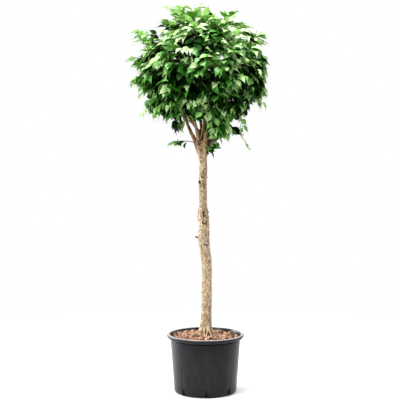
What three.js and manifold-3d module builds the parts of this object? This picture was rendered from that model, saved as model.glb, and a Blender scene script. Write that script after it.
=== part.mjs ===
// A weeping fig grown as a standard: one bare trunk that forks into a ring of boughs, and a dense
// domed crown of hanging leaves, in a black grower's pot filled with bark chips.
// Millimetres, +Z up. The origin is the middle of the pot's flat underside, and the plant faces -Y.
import * as THREE from "three";
import { mergeVertices } from "three/addons/utils/BufferGeometryUtils.js";
import Module from "manifold-3d";

const wasm = await Module();
wasm.setup();

// --- Driving dimensions ---

const TURN = 2 * Math.PI;
const DEGREE = TURN / 360;
const UP = new THREE.Vector3(0, 0, 1);
const CLEARANCE = 0.3; // between two solids that stand face to face
const MERGE = 1e-3; // points this close are one
const FACET_TOLERANCE = 0.05;

const POT = {
  height: 300,
  rimRadius: 200,
  rimWidth: 17,
  rimDrop: 22,
  rimRound: 5,
  wallTopRadius: 181,
  wallFootRadius: 162,
  footRadius: 152,
  footRise: 26,
  wall: 4,
  floor: 6,
  sides: 32,
};
const DRAIN_SLOT = { count: 8, width: 14, bottom: 7, top: 38, depth: 40, firstAzimuth: -88 };
const FILL = { edge: 284, mound: 8, plateau: 102, shoulder: 140, lump: 3.5, lumpPitch: 31 };
const GROUND = FILL.edge + FILL.mound; // where the trunk leaves the bark chips

// The trunk from the ground to its fork: height, sideways lean, lean in depth, radius.
const TRUNK_STATIONS = [
  [272, 3, 0, 40],
  [300, 3, 0, 37],
  [349, 2, 1, 32],
  [395, 4, 2, 29],
  [473, 7, 3, 27],
  [628, 8, 3, 26.5],
  [690, 5, 1, 28],
  [731, -3, -1, 27.5],
  [790, -8, -2, 30],
  [845, -6, -1, 27.5],
  [907, -10, 1, 28.5],
  [964, -12, 3, 21.5],
  [1083, -13, 3, 21],
  [1196, -13, 1, 20.5],
  [1233, -13, 0, 25],
  [1262, -14, 0, 29],
];
const TRUNK = { sides: 12, rings: 22, flareLobes: 5, flare: 0.16, flareRise: 60 };

// Knots and pruned stubs on the trunk: height, azimuth, length, radius.
const TRUNK_SNAGS = [
  [804, 168, 15, 4],
  [829, 176, 5, 4],
  [879, 180, 4, 3.5],
  [915, 285, 4, 11],
  [926, 350, 6, 5],
  [762, 280, 3, 9],
  [1083, 200, 4, 7],
  [1103, 358, 6, 4],
  [1225, 325, 17, 5],
];
const SNAG = { sink: 12, sides: 5 }; // how far a snag's root reaches into the trunk

const SURFACE_ROOTS = {
  count: 8,
  innerRadius: 20,
  rise: 40, // where a root leaves the trunk, above the ground
  kneeRadius: 48,
  reach: 72,
  reachSpread: 20,
  thick: 7,
  thin: 2.5,
  sides: 5,
  rings: 4,
};

// The boughs that ring the fork: name, azimuth, how far the knee and the tip stand out from the fork,
// and how much lower than the others' they are.
const BOUGHS = [
  ["bough_right", 355, 82, 142, 25],
  ["bough_right_back", 48, 52, 118, 0],
  ["bough_back", 97, 50, 112, 0],
  ["bough_left_back", 140, 52, 112, 0],
  ["bough_left", 186, 62, 102, 0],
  ["bough_front_left", 236, 52, 96, 0],
  ["bough_front_right", 291, 46, 104, 0],
];
const BOUGH = {
  rootRadius: 8,
  rootHeight: 1222,
  stubRadius: 35, // where a bough's own solid begins
  stubHeight: 1290,
  kneeHeight: 1345,
  tipHeight: 1452,
  thick: 9,
  thin: 5.2,
  sides: 8,
  rings: 5,
};
const LEADER = { name: "bough_leader", height: 1645, bow: 14, thick: 9.5, thin: 5 };
const FORK = new THREE.Vector3(-14, 0, 1262);

// The crown: a superellipsoid dome that the shoots grow out to, and the masses' own middles in it.
const CROWN = {
  heart: new THREE.Vector3(-12, 0, 1655),
  spread: 294,
  rise: 272,
  drop: 240,
  fullness: 2.5,
  lowest: -0.82, // cosine of the steepest downward shoot
  shoots: 84,
  wander: 0.09,
  core: 0.8, // the dense heart's share of the dome
  coreLumps: 0.08,
  coreSides: 18,
  coreRings: 10,
};
const MASS = { topRise: 150, sideRadius: 185, sideRise: -15, hub: 0.62, gap: 1.2 };

// The crown's furthest leaf tips, which stand out of the dome.
const FURTHEST_TIPS = [
  [-158, 15, 2003],
  [-65, -30, 2012],
  [155, -40, 1946],
  [-368, -20, 1835],
  [-411, 30, 1690],
  [-392, -60, 1555],
  [305, 40, 1850],
  [330, -40, 1700],
  [308, -60, 1480],
  [-262, -70, 1372],
  [214, -70, 1262],
  [105, -110, 1320],
  [44, -150, 1285],
  [120, 80, 1290],
];

// Low sprigs that grow from the trunk under the fork: name, azimuth, height, their tip's reach and height.
const LOW_SPRIGS = [
  ["sprig_low_left", 207, 1258, 138, 1318],
  ["sprig_low_right", 323, 1256, 62, 1286],
];
const SPRIG = { socketLength: 7, radius: 4, leaves: 4, leafLength: 76 };

const TWIG = { sides: 3, thick: 5, shoot: 3.4, tip: 2, rings: 2, step: 0.1, bow: 0.13, limbGap: 2.5 };
const LEAF = {
  length: 112,
  lengthSpread: 0.14,
  width: 0.5,
  widest: 0.42,
  thickness: 2.6,
  thickest: 0.12,
  fold: 0.09,
  hook: 0.12, // how far the drip tip curls under
  forward: 0.5, // how strongly a leaf follows its shoot, stands away from the crown, and droops
  outward: 0.25,
  droop: 0.85,
  perShoot: 5,
  firstShare: 0.4,
  lastShare: 0.96,
  attempts: 20,
  seedStep: 100, // between the stream of draws for a mass's twigs and that for its leaves
  stand: 0.55, // how far a shoot's last leaf stands out past it, as a share of its length
  hang: 0.5, // how far it hangs below a level shoot
  hangBelow: 0.85, // and below a drooping one
};
const SEED = 20;

// --- Finishes ---

const finish = (color, roughness) =>
  new THREE.MeshStandardMaterial({ color, roughness, metalness: 0, flatShading: true });
const POT_PLASTIC = finish("#303236", 0.5);
const BARK_CHIPS = finish("#9b6a50", 0.95);
const BARK = finish("#b89a74", 0.85);
const FOLIAGE = finish("#3f6a28", 0.45);

// --- Solids ---

/** A closed geometry as a manifold, with only its positions kept and those that coincide made one. */
function solidOf(geometry) {
  const bare = geometry.clone();
  bare.deleteAttribute("normal");
  bare.deleteAttribute("uv");
  const merged = mergeVertices(bare, MERGE);
  return new wasm.Manifold(
    new wasm.Mesh({
      numProp: 3,
      vertProperties: merged.attributes.position.array,
      triVerts: new Uint32Array(merged.index.array),
    }),
  );
}

/** A manifold as a geometry. */
function geometryOf(solid) {
  const { vertProperties, triVerts } = solid.getMesh();
  const geometry = new THREE.BufferGeometry();
  geometry.setAttribute("position", new THREE.BufferAttribute(vertProperties, 3));
  geometry.setIndex(new THREE.BufferAttribute(triVerts, 1));
  return geometry;
}

/** Solids joined into one, without scraps that hang on by less than the merging distance. */
function joined(solids) {
  const whole = wasm.Manifold.union(solids).simplify(FACET_TOLERANCE);
  const bodies = solidOf(geometryOf(whole)).decompose();
  return bodies.reduce((best, body) => (body.volume() > best.volume() ? body : best));
}

/** A manifold as a named mesh. */
function part(name, solid, material) {
  const geometry = geometryOf(solid);
  geometry.computeVertexNormals();
  const mesh = new THREE.Mesh(geometry, material);
  mesh.name = name;
  return mesh;
}

/** A direction in the ground plane. */
function heading(azimuth) {
  return new THREE.Vector3(Math.cos(azimuth * DEGREE), Math.sin(azimuth * DEGREE), 0);
}

/** A seeded stream of numbers from 0 to 1, the same on every machine. */
function randomFrom(seed) {
  let state = seed >>> 0;
  return () => {
    state = (state + 0x6d2b79f5) >>> 0;
    let mixed = Math.imul(state ^ (state >>> 15), state | 1);
    mixed ^= mixed + Math.imul(mixed ^ (mixed >>> 7), mixed | 61);
    return ((mixed ^ (mixed >>> 14)) >>> 0) / 4294967296;
  };
}

/**
 * A limb: a closed cylinder bent along a stretch of a curve. radiusAt reads the share of the curve,
 * the ring's middle and the angle round it; across is a direction the curve never runs along.
 */
function limb({ curve, from = 0, to = 1, radiusAt, sides, rings, across }) {
  const shape = new THREE.CylinderGeometry(1, 1, 1, sides, rings);
  const sections = Array.from({ length: rings + 1 }, (_, ring) => {
    const share = from + ((to - from) * ring) / rings;
    const along = curve.getTangentAt(share);
    const side = across.clone().addScaledVector(along, -across.dot(along)).normalize();
    return { share, middle: curve.getPointAt(share), side, other: side.clone().cross(along) };
  });
  const place = shape.attributes.position;
  for (let i = 0; i < place.count; i++) {
    const { share, middle, side, other } = sections[Math.round((place.getY(i) + 0.5) * rings)];
    const [x, z] = [place.getX(i), place.getZ(i)];
    const radius = radiusAt(share, middle, Math.atan2(z, x));
    const point = middle.clone().addScaledVector(side, x * radius).addScaledVector(other, z * radius);
    place.setXYZ(i, point.x, point.y, point.z);
  }
  return shape;
}

const taper = (thick, thin) => (share) => THREE.MathUtils.lerp(thick, thin, share);

// --- Pot and fill ---

/** The pot's inner radius at a height, between its foot and its rim. */
function innerRadius(height) {
  const share = (height - POT.footRise) / (POT.height - POT.rimDrop - POT.footRise);
  return THREE.MathUtils.lerp(POT.wallFootRadius, POT.wallTopRadius, share) - POT.wall;
}

/** A profile of [radius, height] pairs turned round the Z axis, bottom of the axis first. */
function turned(profile, sides) {
  const points = profile.map(([radius, height]) => new THREE.Vector2(radius, height));
  return new THREE.LatheGeometry(points, sides).rotateX(Math.PI / 2);
}

function drainSlot(azimuth) {
  const { width, bottom, top, depth } = DRAIN_SLOT;
  const outline = new THREE.Shape();
  outline.moveTo(-width / 2, bottom);
  outline.lineTo(width / 2, bottom);
  outline.lineTo(width / 2, top - width / 2);
  outline.absarc(0, top - width / 2, width / 2, 0, Math.PI, false);
  return new THREE.ExtrudeGeometry(outline, { depth, bevelEnabled: false, curveSegments: 4 })
    .rotateX(Math.PI / 2)
    .rotateZ(Math.PI / 2)
    .translate(POT.footRadius - depth / 2, 0, 0)
    .rotateZ(azimuth * DEGREE);
}

function pot() {
  const { height, rimRadius, rimWidth, rimDrop, rimRound, footRadius, footRise, wall } = POT;
  const ledge = height - rimDrop;
  const mouth = rimRadius - rimWidth;
  const shell = turned(
    [
      [0, 0],
      [footRadius, 0],
      [footRadius + 5, footRise * 0.25],
      [POT.wallFootRadius - 1, footRise * 0.7],
      [POT.wallFootRadius, footRise],
      [POT.wallTopRadius, ledge],
      [rimRadius - rimRound, ledge],
      [rimRadius, ledge + rimRound],
      [rimRadius, height - rimRound],
      [rimRadius - rimRound, height],
      [mouth + rimRound / 2, height],
      [mouth, height - rimRound],
      [innerRadius(ledge), ledge],
      [innerRadius(footRise), footRise],
      [footRadius - wall, POT.floor],
      [0, POT.floor],
    ],
    POT.sides,
  );
  const slots = Array.from({ length: DRAIN_SLOT.count }, (_, i) =>
    solidOf(drainSlot(DRAIN_SLOT.firstAzimuth + (i * 360) / DRAIN_SLOT.count)),
  );
  return part("pot", solidOf(shell).subtract(wasm.Manifold.union(slots)), POT_PLASTIC);
}

/** The heave of the bark chips at a place on their surface. */
function lump(x, y) {
  const { lump: height, lumpPitch: pitch } = FILL;
  return height * Math.sin((x * TURN) / pitch) * Math.cos((y * TURN) / (pitch * 1.13) + x / pitch);
}

function fill() {
  const shape = turned(
    [
      [0, POT.floor + CLEARANCE],
      [POT.footRadius - POT.wall - CLEARANCE, POT.floor + CLEARANCE],
      [innerRadius(POT.footRise) - CLEARANCE, POT.footRise],
      [innerRadius(FILL.edge) - 2 * CLEARANCE, FILL.edge - FILL.lump],
      [innerRadius(FILL.edge) - 10, FILL.edge],
      [FILL.shoulder, (FILL.edge + GROUND) / 2],
      [FILL.plateau, GROUND],
      [0, GROUND],
    ],
    POT.sides,
  );
  const place = shape.attributes.position;
  for (let i = 0; i < place.count; i++) {
    const [x, y, z] = [place.getX(i), place.getY(i), place.getZ(i)];
    const onRoughRing = z > FILL.edge - 1 && z < GROUND - 1;
    if (onRoughRing) place.setZ(i, z + lump(x, y));
  }
  return part("bark_chip_fill", solidOf(shape), BARK_CHIPS);
}

// --- Trunk and boughs ---

const trunkLine = new THREE.CatmullRomCurve3(
  TRUNK_STATIONS.map(([height, x, y]) => new THREE.Vector3(x, y, height)),
);

function trunkRadius(height) {
  const above = TRUNK_STATIONS.findIndex(([station]) => station >= height);
  if (above < 1) return TRUNK_STATIONS.at(above)[3];
  const [low, high] = [TRUNK_STATIONS[above - 1], TRUNK_STATIONS[above]];
  return THREE.MathUtils.mapLinear(height, low[0], high[0], low[3], high[3]);
}

function trunkMiddle(height) {
  const share = TRUNK_STATIONS.findIndex(([station]) => station >= height);
  const [low, high] = [TRUNK_STATIONS[share - 1], TRUNK_STATIONS[share]];
  const at = (index) => THREE.MathUtils.mapLinear(height, low[0], high[0], low[index], high[index]);
  return new THREE.Vector3(at(1), at(2), height);
}

/** The straight line of a snag: it starts inside the trunk and rises out of it. */
function snagLine(height, azimuth, length) {
  const out = heading(azimuth).addScaledVector(UP, 0.45).normalize();
  const root = trunkMiddle(height).addScaledVector(heading(azimuth), trunkRadius(height) - SNAG.sink);
  return new THREE.LineCurve3(root, root.clone().addScaledVector(out, SNAG.sink + length));
}

function snag([height, azimuth, length, radius], thin = 0.6 * radius) {
  return limb({
    curve: snagLine(height, azimuth, length),
    radiusAt: taper(radius, thin),
    sides: SNAG.sides,
    rings: 1,
    across: heading(azimuth + 90),
  });
}

/** The short socket on the trunk that a low sprig grows out of. */
function socket([, azimuth, height]) {
  return snag([height, azimuth, SPRIG.socketLength, SPRIG.radius], SPRIG.radius);
}

function surfaceRoot(index, random) {
  const { count, innerRadius: inner, rise, kneeRadius, reach, reachSpread } = SURFACE_ROOTS;
  const azimuth = ((index + 0.5 * random()) * 360) / count;
  const foot = trunkMiddle(GROUND);
  const at = (radius, height, turn) =>
    foot.clone().addScaledVector(heading(azimuth + turn), radius).addScaledVector(UP, height);
  const swing = 24 * (random() - 0.5);
  return limb({
    curve: new THREE.CatmullRomCurve3([
      at(inner, rise * (0.7 + 0.6 * random()), 0),
      at(kneeRadius, 6 + 6 * random(), swing * 0.3),
      at(reach + reachSpread * (random() - 0.5), -1, swing),
    ]),
    radiusAt: taper(SURFACE_ROOTS.thick, SURFACE_ROOTS.thin),
    sides: SURFACE_ROOTS.sides,
    rings: SURFACE_ROOTS.rings,
    across: heading(azimuth + 90),
  });
}

/** Each bough's whole line, from inside the trunk to its tip, and the share where it leaves the fork. */
function boughLines() {
  const around = BOUGHS.map(([name, azimuth, knee, tip, sag]) => {
    const at = (radius, height) =>
      FORK.clone().setZ(height).addScaledVector(heading(azimuth), radius);
    const curve = new THREE.CatmullRomCurve3([
      at(BOUGH.rootRadius, BOUGH.rootHeight),
      at(BOUGH.stubRadius, BOUGH.stubHeight),
      at(knee, BOUGH.kneeHeight - sag),
      at(tip, BOUGH.tipHeight - sag),
    ]);
    return { name, azimuth, curve, thick: BOUGH.thick, thin: BOUGH.thin, rings: BOUGH.rings };
  });
  const leader = new THREE.CatmullRomCurve3([
    FORK.clone().setZ(BOUGH.rootHeight),
    FORK.clone().setZ(BOUGH.stubHeight),
    FORK.clone().add(new THREE.Vector3(LEADER.bow, 0, (LEADER.height - FORK.z) / 2)),
    CROWN.heart.clone().setZ(LEADER.height),
  ]);
  const { name, thick, thin } = LEADER;
  return [...around, { name, azimuth: 0, curve: leader, thick, thin, rings: 2 * BOUGH.rings }].map(
    (bough) => {
      const length = bough.curve.getLength();
      const stub = FORK.clone().setZ(BOUGH.rootHeight);
      const leaves = Math.hypot(BOUGH.stubRadius, BOUGH.stubHeight - stub.z) / length;
      return { ...bough, length, leaves, across: heading(bough.azimuth + 90) };
    },
  );
}

function boughShape({ curve, thick, thin, leaves, length, rings, across }) {
  return limb({
    curve,
    from: leaves + CLEARANCE / length,
    radiusAt: taper(thick, thin),
    sides: BOUGH.sides,
    rings,
    across,
  });
}

function boughStub({ curve, thick, thin, leaves, across }) {
  return limb({ curve, to: leaves, radiusAt: taper(thick, thin), sides: BOUGH.sides, rings: 2, across });
}

function trunk(boughs) {
  const stem = limb({
    curve: trunkLine,
    radiusAt: (_, middle, angle) => {
      const flare = Math.exp(-(middle.z - GROUND) / TRUNK.flareRise) * TRUNK.flare;
      return trunkRadius(middle.z) * (1 + flare * Math.cos(TRUNK.flareLobes * angle));
    },
    sides: TRUNK.sides,
    rings: TRUNK.rings,
    across: new THREE.Vector3(1, 0, 0),
  });
  const random = randomFrom(SEED);
  const roots = Array.from({ length: SURFACE_ROOTS.count }, (_, i) => surfaceRoot(i, random));
  const snags = TRUNK_SNAGS.map((each) => snag(each));
  const pieces = [stem, ...roots, ...snags, ...LOW_SPRIGS.map(socket), ...boughs.map(boughStub)];
  const belowGround = new THREE.BoxGeometry(400, 400, 100).translate(0, 0, GROUND + CLEARANCE - 50);
  return joined(pieces.map(solidOf)).subtract(solidOf(belowGround));
}

// --- Foliage ---

/** How far the dome stands from its heart in a direction whose upward part is given. */
function domeReach(up) {
  const { spread, rise, drop, fullness } = CROWN;
  const out = Math.sqrt(Math.max(0, 1 - up * up));
  const squeeze = (out / spread) ** fullness + (Math.abs(up) / (up > 0 ? rise : drop)) ** fullness;
  return squeeze ** (-1 / fullness);
}

/** Where a shoot ends for its last leaf to hang down to a given place. */
function shootTipFor(leafTip) {
  const outward = leafTip.clone().sub(CROWN.heart).normalize();
  const level = Math.hypot(outward.x, outward.y);
  const rise = LEAF.hang * level + LEAF.hangBelow * Math.max(0, -outward.z) - 0.4 * Math.max(0, outward.z);
  return leafTip
    .addScaledVector(outward.setZ(0), -LEAF.stand * LEAF.length)
    .addScaledVector(UP, rise * LEAF.length);
}

/** The tips of the shoots: spread evenly over the dome by the golden angle, then the furthest ones. */
function shootTips() {
  const random = randomFrom(SEED + 1);
  const { heart, lowest, shoots, wander } = CROWN;
  const golden = 360 * (1 - 2 / (1 + Math.sqrt(5)));
  const tips = Array.from({ length: shoots }, (_, i) => {
    const up = 1 - ((1 - lowest) * (i + 0.5)) / shoots;
    const azimuth = i * golden + 16 * (random() - 0.5);
    const reach = domeReach(up) * (1 + wander * (random() - 0.6));
    const out = heading(azimuth).multiplyScalar(Math.sqrt(1 - up * up)).setZ(up);
    return out.multiplyScalar(reach).add(heart);
  });
  return [...tips, ...FURTHEST_TIPS.map(([x, y, z]) => shootTipFor(new THREE.Vector3(x, y, z)))];
}

/** The masses of foliage: each has the bough that bears it and its own middle. */
function massPlan(boughs) {
  return boughs.map((bough) => {
    const offset =
      bough.name === LEADER.name
        ? new THREE.Vector3(0, 0, MASS.topRise)
        : heading(bough.azimuth).multiplyScalar(MASS.sideRadius).setZ(MASS.sideRise);
    const name = bough.name.replace("bough", "foliage");
    return { name, bough, middle: CROWN.heart.clone().add(offset) };
  });
}

/** The flat borders of a mass's own space: the cell of points nearer its middle than another's. */
function bordersOf(mass, masses) {
  return masses
    .filter((other) => other !== mass)
    .map((other) => {
      const inward = mass.middle.clone().sub(other.middle).normalize();
      const halfway = mass.middle.clone().add(other.middle).multiplyScalar(0.5);
      return { inward, offset: halfway.dot(inward) };
    });
}

const depthInside = (point, borders) =>
  Math.min(...borders.map(({ inward, offset }) => point.dot(inward) - offset));

/** One solid that holds the trunk's head and the boughs with some room round them. */
function limbRoom(boughs) {
  const along = { sides: 8, rings: 8 };
  const sleeves = boughs.map(({ curve, across }) =>
    limb({ curve, radiusAt: () => BOUGH.thick + TWIG.limbGap, across, ...along }),
  );
  const head = limb({
    curve: trunkLine,
    from: 0.8,
    radiusAt: (_, middle) => trunkRadius(middle.z) + 2 * TWIG.limbGap,
    across: new THREE.Vector3(1, 0, 0),
    ...along,
  });
  return wasm.Manifold.union([...sleeves, head].map(solidOf));
}

/** Splits tips in two across the direction in which they spread furthest. */
function halves(tips, middle) {
  const spreadOf = (axis) => tips.reduce((sum, tip) => sum + (tip[axis] - middle[axis]) ** 2, 0);
  const axis = ["x", "y", "z"].reduce((best, each) => (spreadOf(each) > spreadOf(best) ? each : best));
  const sorted = [...tips].sort((a, b) => a[axis] - b[axis]);
  const half = Math.ceil(sorted.length / 2);
  return [sorted.slice(0, half), sorted.slice(half)];
}

/** Grows one mass's twigs: a stem that forks by halves until every branch ends in one leafy shoot. */
function grow(start, thick, tips, random, found) {
  if (tips.length === 1) {
    found.push({ start, end: tips[0], thick: TWIG.shoot, thin: TWIG.tip, leafy: true });
    return;
  }
  const middle = tips.reduce((sum, tip) => sum.add(tip), new THREE.Vector3()).divideScalar(tips.length);
  const fork = start.clone().lerp(middle, TWIG.step * (0.85 + 0.3 * random()));
  const thin = Math.max(TWIG.shoot, thick * 0.88);
  found.push({ start, end: fork, thick, thin, leafy: false });
  halves(tips, middle).forEach((half) => grow(fork, thin, half, random, found));
}

/** A shoot's line: it leaves rising and comes down over its far end, as a weeping branch does. */
function weepingLine(start, end) {
  const reach = start.distanceTo(end);
  const crest = start.clone().lerp(end, 0.55).addScaledVector(UP, TWIG.bow * reach);
  return new THREE.QuadraticBezierCurve3(start, crest, end);
}

/** The level direction square to a line, or the X axis for an upright one. */
function levelAcross(along) {
  const across = along.clone().cross(UP);
  return across.length() > 0.01 ? across.normalize() : new THREE.Vector3(1, 0, 0);
}

/** A twig with its line and its shape. */
function twigAlong(twig) {
  const { start, end, thick, thin, leafy } = twig;
  const line = leafy ? weepingLine(start, end) : new THREE.LineCurve3(start, end);
  const shape = limb({
    curve: line,
    radiusAt: taper(thick, thin),
    sides: TWIG.sides,
    rings: leafy ? TWIG.rings : 1,
    across: levelAcross(end.clone().sub(start)),
  });
  return { ...twig, line, shape };
}

/** A leaf of eight faces: an octahedron drawn out to a stalk end, a drip tip and two folded margins. */
function leafShape(root, along, face, length) {
  const side = face.clone().cross(along);
  const shape = new THREE.OctahedronGeometry(1, 0);
  const place = shape.attributes.position;
  for (let i = 0; i < place.count; i++) {
    const [x, y, z] = [place.getX(i), place.getY(i), place.getZ(i)].map(Math.round);
    const share = x === 0 ? (z === 0 ? LEAF.widest : LEAF.thickest) : (x + 1) / 2;
    const lift = Math.abs(y) * LEAF.fold * length - (x > 0 ? LEAF.hook * length : 0);
    const point = root
      .clone()
      .addScaledVector(along, share * length)
      .addScaledVector(side, (y * LEAF.width * length) / 2)
      .addScaledVector(face, lift + (z * LEAF.thickness) / 2);
    place.setXYZ(i, point.x, point.y, point.z);
  }
  return shape;
}

/** One leaf at a share of a shoot, hanging outwards; turn is how far it stands to the side. */
function hangingLeaf(line, share, turn, size, random) {
  const node = line.getPointAt(share);
  const forward = line.getTangentAt(share);
  const aside = levelAcross(forward);
  const outward = node.clone().sub(CROWN.heart).normalize();
  const along = forward
    .clone()
    .multiplyScalar(LEAF.forward)
    .addScaledVector(aside, turn)
    .addScaledVector(outward, LEAF.outward)
    .addScaledVector(UP, -LEAF.droop * (0.6 + 0.8 * random()))
    .normalize();
  const face = outward
    .clone()
    .addScaledVector(UP, 0.9)
    .addScaledVector(aside, 0.9 * (random() - 0.5));
  face.addScaledVector(along, -face.dot(along)).normalize();
  const length = size * (1 + LEAF.lengthSpread * (2 * random() - 1));
  return leafShape(node, along, face, length);
}

/** Whether every corner of a shape stays in the mass's own space. */
function staysInside(shape, borders) {
  const place = shape.attributes.position;
  const point = new THREE.Vector3();
  for (let i = 0; i < place.count; i++) {
    point.fromBufferAttribute(place, i);
    if (depthInside(point, borders) < MASS.gap / 2) return false;
  }
  return true;
}

/** Whether two solids share any space. */
function crosses(one, other) {
  const [a, b] = [one.boundingBox(), other.boundingBox()];
  const apart = [0, 1, 2].some((axis) => a.min[axis] > b.max[axis] || b.min[axis] > a.max[axis]);
  return !apart && one.intersect(other).volume() > 0;
}

/** The leaves along leafy twigs. One that leaves the space or touches anything else is tried again. */
function leavesOn(twigs, { count, size }, borders, limbs, random) {
  const leaves = [];
  for (const twig of twigs.filter(({ leafy }) => leafy)) {
    const others = twigs.filter((other) => other !== twig).map(({ solid }) => solid);
    for (let i = 0; i < count; i++) {
      const share = THREE.MathUtils.lerp(LEAF.firstShare, LEAF.lastShare, i / (count - 1));
      for (let attempt = 0; attempt < LEAF.attempts; attempt++) {
        const side = (i + attempt) % 2 ? 1 : -1;
        const turn = i === count - 1 ? side * 0.5 * random() : side * (0.4 + 1.1 * random());
        const shape = hangingLeaf(twig.line, share, turn, size, random);
        const leaf = staysInside(shape, borders) && solidOf(shape);
        if (leaf && ![limbs, ...others, ...leaves].some((solid) => crosses(leaf, solid))) {
          leaves.push(leaf);
          break;
        }
      }
    }
  }
  return leaves;
}

/** The dense heart of a mass: the dome made smaller, cut to the mass's space and clear of the limbs. */
function massCore(borders, limbs) {
  const dome = new THREE.SphereGeometry(1, CROWN.coreSides, CROWN.coreRings).rotateX(Math.PI / 2);
  const place = dome.attributes.position;
  const point = new THREE.Vector3();
  for (let i = 0; i < place.count; i++) {
    point.fromBufferAttribute(place, i);
    const swell = 1 + CROWN.coreLumps * Math.sin(7 * point.x + 2) * Math.sin(6 * point.y + 5 * point.z);
    point.multiplyScalar(swell * CROWN.core * domeReach(point.z)).add(CROWN.heart);
    place.setXYZ(i, point.x, point.y, point.z);
  }
  return borders
    .reduce(
      (solid, { inward, offset }) => solid.trimByPlane(inward.toArray(), offset + MASS.gap / 2),
      solidOf(dome),
    )
    .subtract(limbs);
}

/** One mass of foliage as a single solid. */
function foliage(mass, tips, masses, limbs, seed) {
  const borders = bordersOf(mass, masses);
  const { curve, thin, across } = mass.bough;
  const along = curve.getTangentAt(1);
  const start = curve.getPointAt(1).addScaledVector(along, CLEARANCE);
  const knee = start.clone().addScaledVector(along, 4 * thin);
  const hub = start.clone().lerp(CROWN.heart.clone().lerp(mass.middle, CROWN.core), MASS.hub);
  const stem = limb({
    curve: new THREE.CatmullRomCurve3([start, knee, hub]),
    radiusAt: taper(thin, TWIG.thick),
    sides: BOUGH.sides,
    rings: 3,
    across,
  });
  const found = [];
  grow(hub, TWIG.thick, tips, randomFrom(seed), found);
  const twigs = found
    .map((twig) => twigAlong(twig))
    .map((twig) => ({ ...twig, solid: solidOf(twig.shape) }))
    .filter(({ shape, solid }) => staysInside(shape, borders) && !crosses(solid, limbs));
  const sizes = { count: LEAF.perShoot, size: LEAF.length };
  const leaves = leavesOn(twigs, sizes, borders, limbs, randomFrom(seed + LEAF.seedStep));
  const wood = [solidOf(stem), ...twigs.map(({ solid }) => solid)];
  return part(mass.name, joined([massCore(borders, limbs), ...wood, ...leaves]), FOLIAGE);
}

/** A sprig on the trunk: one leafy shoot that grows on from its socket. */
function sprig([name, azimuth, height, reach, tipHeight], limbs, seed) {
  const base = snagLine(height, azimuth, SPRIG.socketLength);
  const out = base.getTangentAt(1);
  const start = base.getPointAt(1).addScaledVector(out, CLEARANCE);
  const knee = start.clone().addScaledVector(out, 4 * SPRIG.radius);
  const tip = FORK.clone().setZ(tipHeight).addScaledVector(heading(azimuth), reach);
  const neck = limb({
    curve: new THREE.LineCurve3(start, knee),
    radiusAt: taper(SPRIG.radius, TWIG.shoot),
    sides: SNAG.sides,
    rings: 1,
    across: heading(azimuth + 90),
  });
  const twig = twigAlong({ start: knee, end: tip, thick: TWIG.shoot, thin: TWIG.tip, leafy: true });
  const shoot = { ...twig, solid: solidOf(twig.shape) };
  const sizes = { count: SPRIG.leaves, size: SPRIG.leafLength };
  const leaves = leavesOn([shoot], sizes, [], limbs, randomFrom(seed));
  return part(name, joined([solidOf(neck), shoot.solid, ...leaves]), FOLIAGE);
}

// --- The plant ---

const boughs = boughLines();
const masses = massPlan(boughs);
const limbs = limbRoom(boughs);
const tips = shootTips();

const plant = new THREE.Group();
plant.add(pot());
plant.add(fill());
plant.add(part("trunk", trunk(boughs), BARK));
boughs.forEach((bough) => plant.add(part(bough.name, solidOf(boughShape(bough)), BARK)));
masses.forEach((mass, i) => {
  const own = tips.filter((tip) => depthInside(tip, bordersOf(mass, masses)) > 0);
  plant.add(foliage(mass, own, masses, limbs, SEED + 10 + i));
});
LOW_SPRIGS.forEach((each, i) => plant.add(sprig(each, limbs, SEED + 30 + i)));

export default plant;
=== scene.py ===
"""A weeping fig grown as a standard, in a grower's pot of bark chips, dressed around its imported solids.

Metres, +Z up, with the origin at the middle of the pot's underside and the plant's front towards -Y.
"""

import logging
import math
from collections.abc import Callable, Sequence
from dataclasses import dataclass, field
from enum import Enum

import bpy
import numpy as np
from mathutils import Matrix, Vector, noise


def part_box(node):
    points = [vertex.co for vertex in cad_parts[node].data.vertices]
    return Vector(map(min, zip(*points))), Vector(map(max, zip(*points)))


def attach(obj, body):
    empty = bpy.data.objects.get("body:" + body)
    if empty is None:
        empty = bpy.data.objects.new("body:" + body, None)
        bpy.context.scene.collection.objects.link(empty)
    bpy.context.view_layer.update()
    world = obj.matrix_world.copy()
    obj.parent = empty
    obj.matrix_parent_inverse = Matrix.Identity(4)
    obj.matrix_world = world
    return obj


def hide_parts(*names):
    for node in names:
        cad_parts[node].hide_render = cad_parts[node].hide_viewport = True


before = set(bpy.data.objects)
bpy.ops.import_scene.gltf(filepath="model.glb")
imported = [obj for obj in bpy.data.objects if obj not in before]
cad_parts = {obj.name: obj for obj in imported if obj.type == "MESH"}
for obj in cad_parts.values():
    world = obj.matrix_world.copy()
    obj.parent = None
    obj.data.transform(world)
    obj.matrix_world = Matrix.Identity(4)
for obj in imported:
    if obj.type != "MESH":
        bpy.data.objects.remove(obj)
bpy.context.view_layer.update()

log = logging.getLogger("weeping_fig")

MM = 0.001
TURN = 2 * math.pi
UP = np.array([0.0, 0.0, 1.0])
BODY = "root"
Points = np.ndarray
Faces = list[tuple[int, ...]]


# --- Small helpers ---


def linear(hex_color: str) -> tuple[float, float, float, float]:
    """Turns an sRGB hex colour to the linear values that a shader takes.

    Args:
        hex_color: Six hex digits after a hash.

    Returns:
        Linear red, green and blue, and an alpha of 1.
    """
    channels = [int(hex_color[i : i + 2], 16) / 255 for i in (1, 3, 5)]
    red, green, blue = (c / 12.92 if c <= 0.04045 else ((c + 0.055) / 1.055) ** 2.4 for c in channels)
    return red, green, blue, 1.0


def heading(azimuth: float) -> np.ndarray:
    """The level direction at an azimuth in degrees."""
    angle = math.radians(azimuth)
    return np.array([math.cos(angle), math.sin(angle), 0.0])


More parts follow.
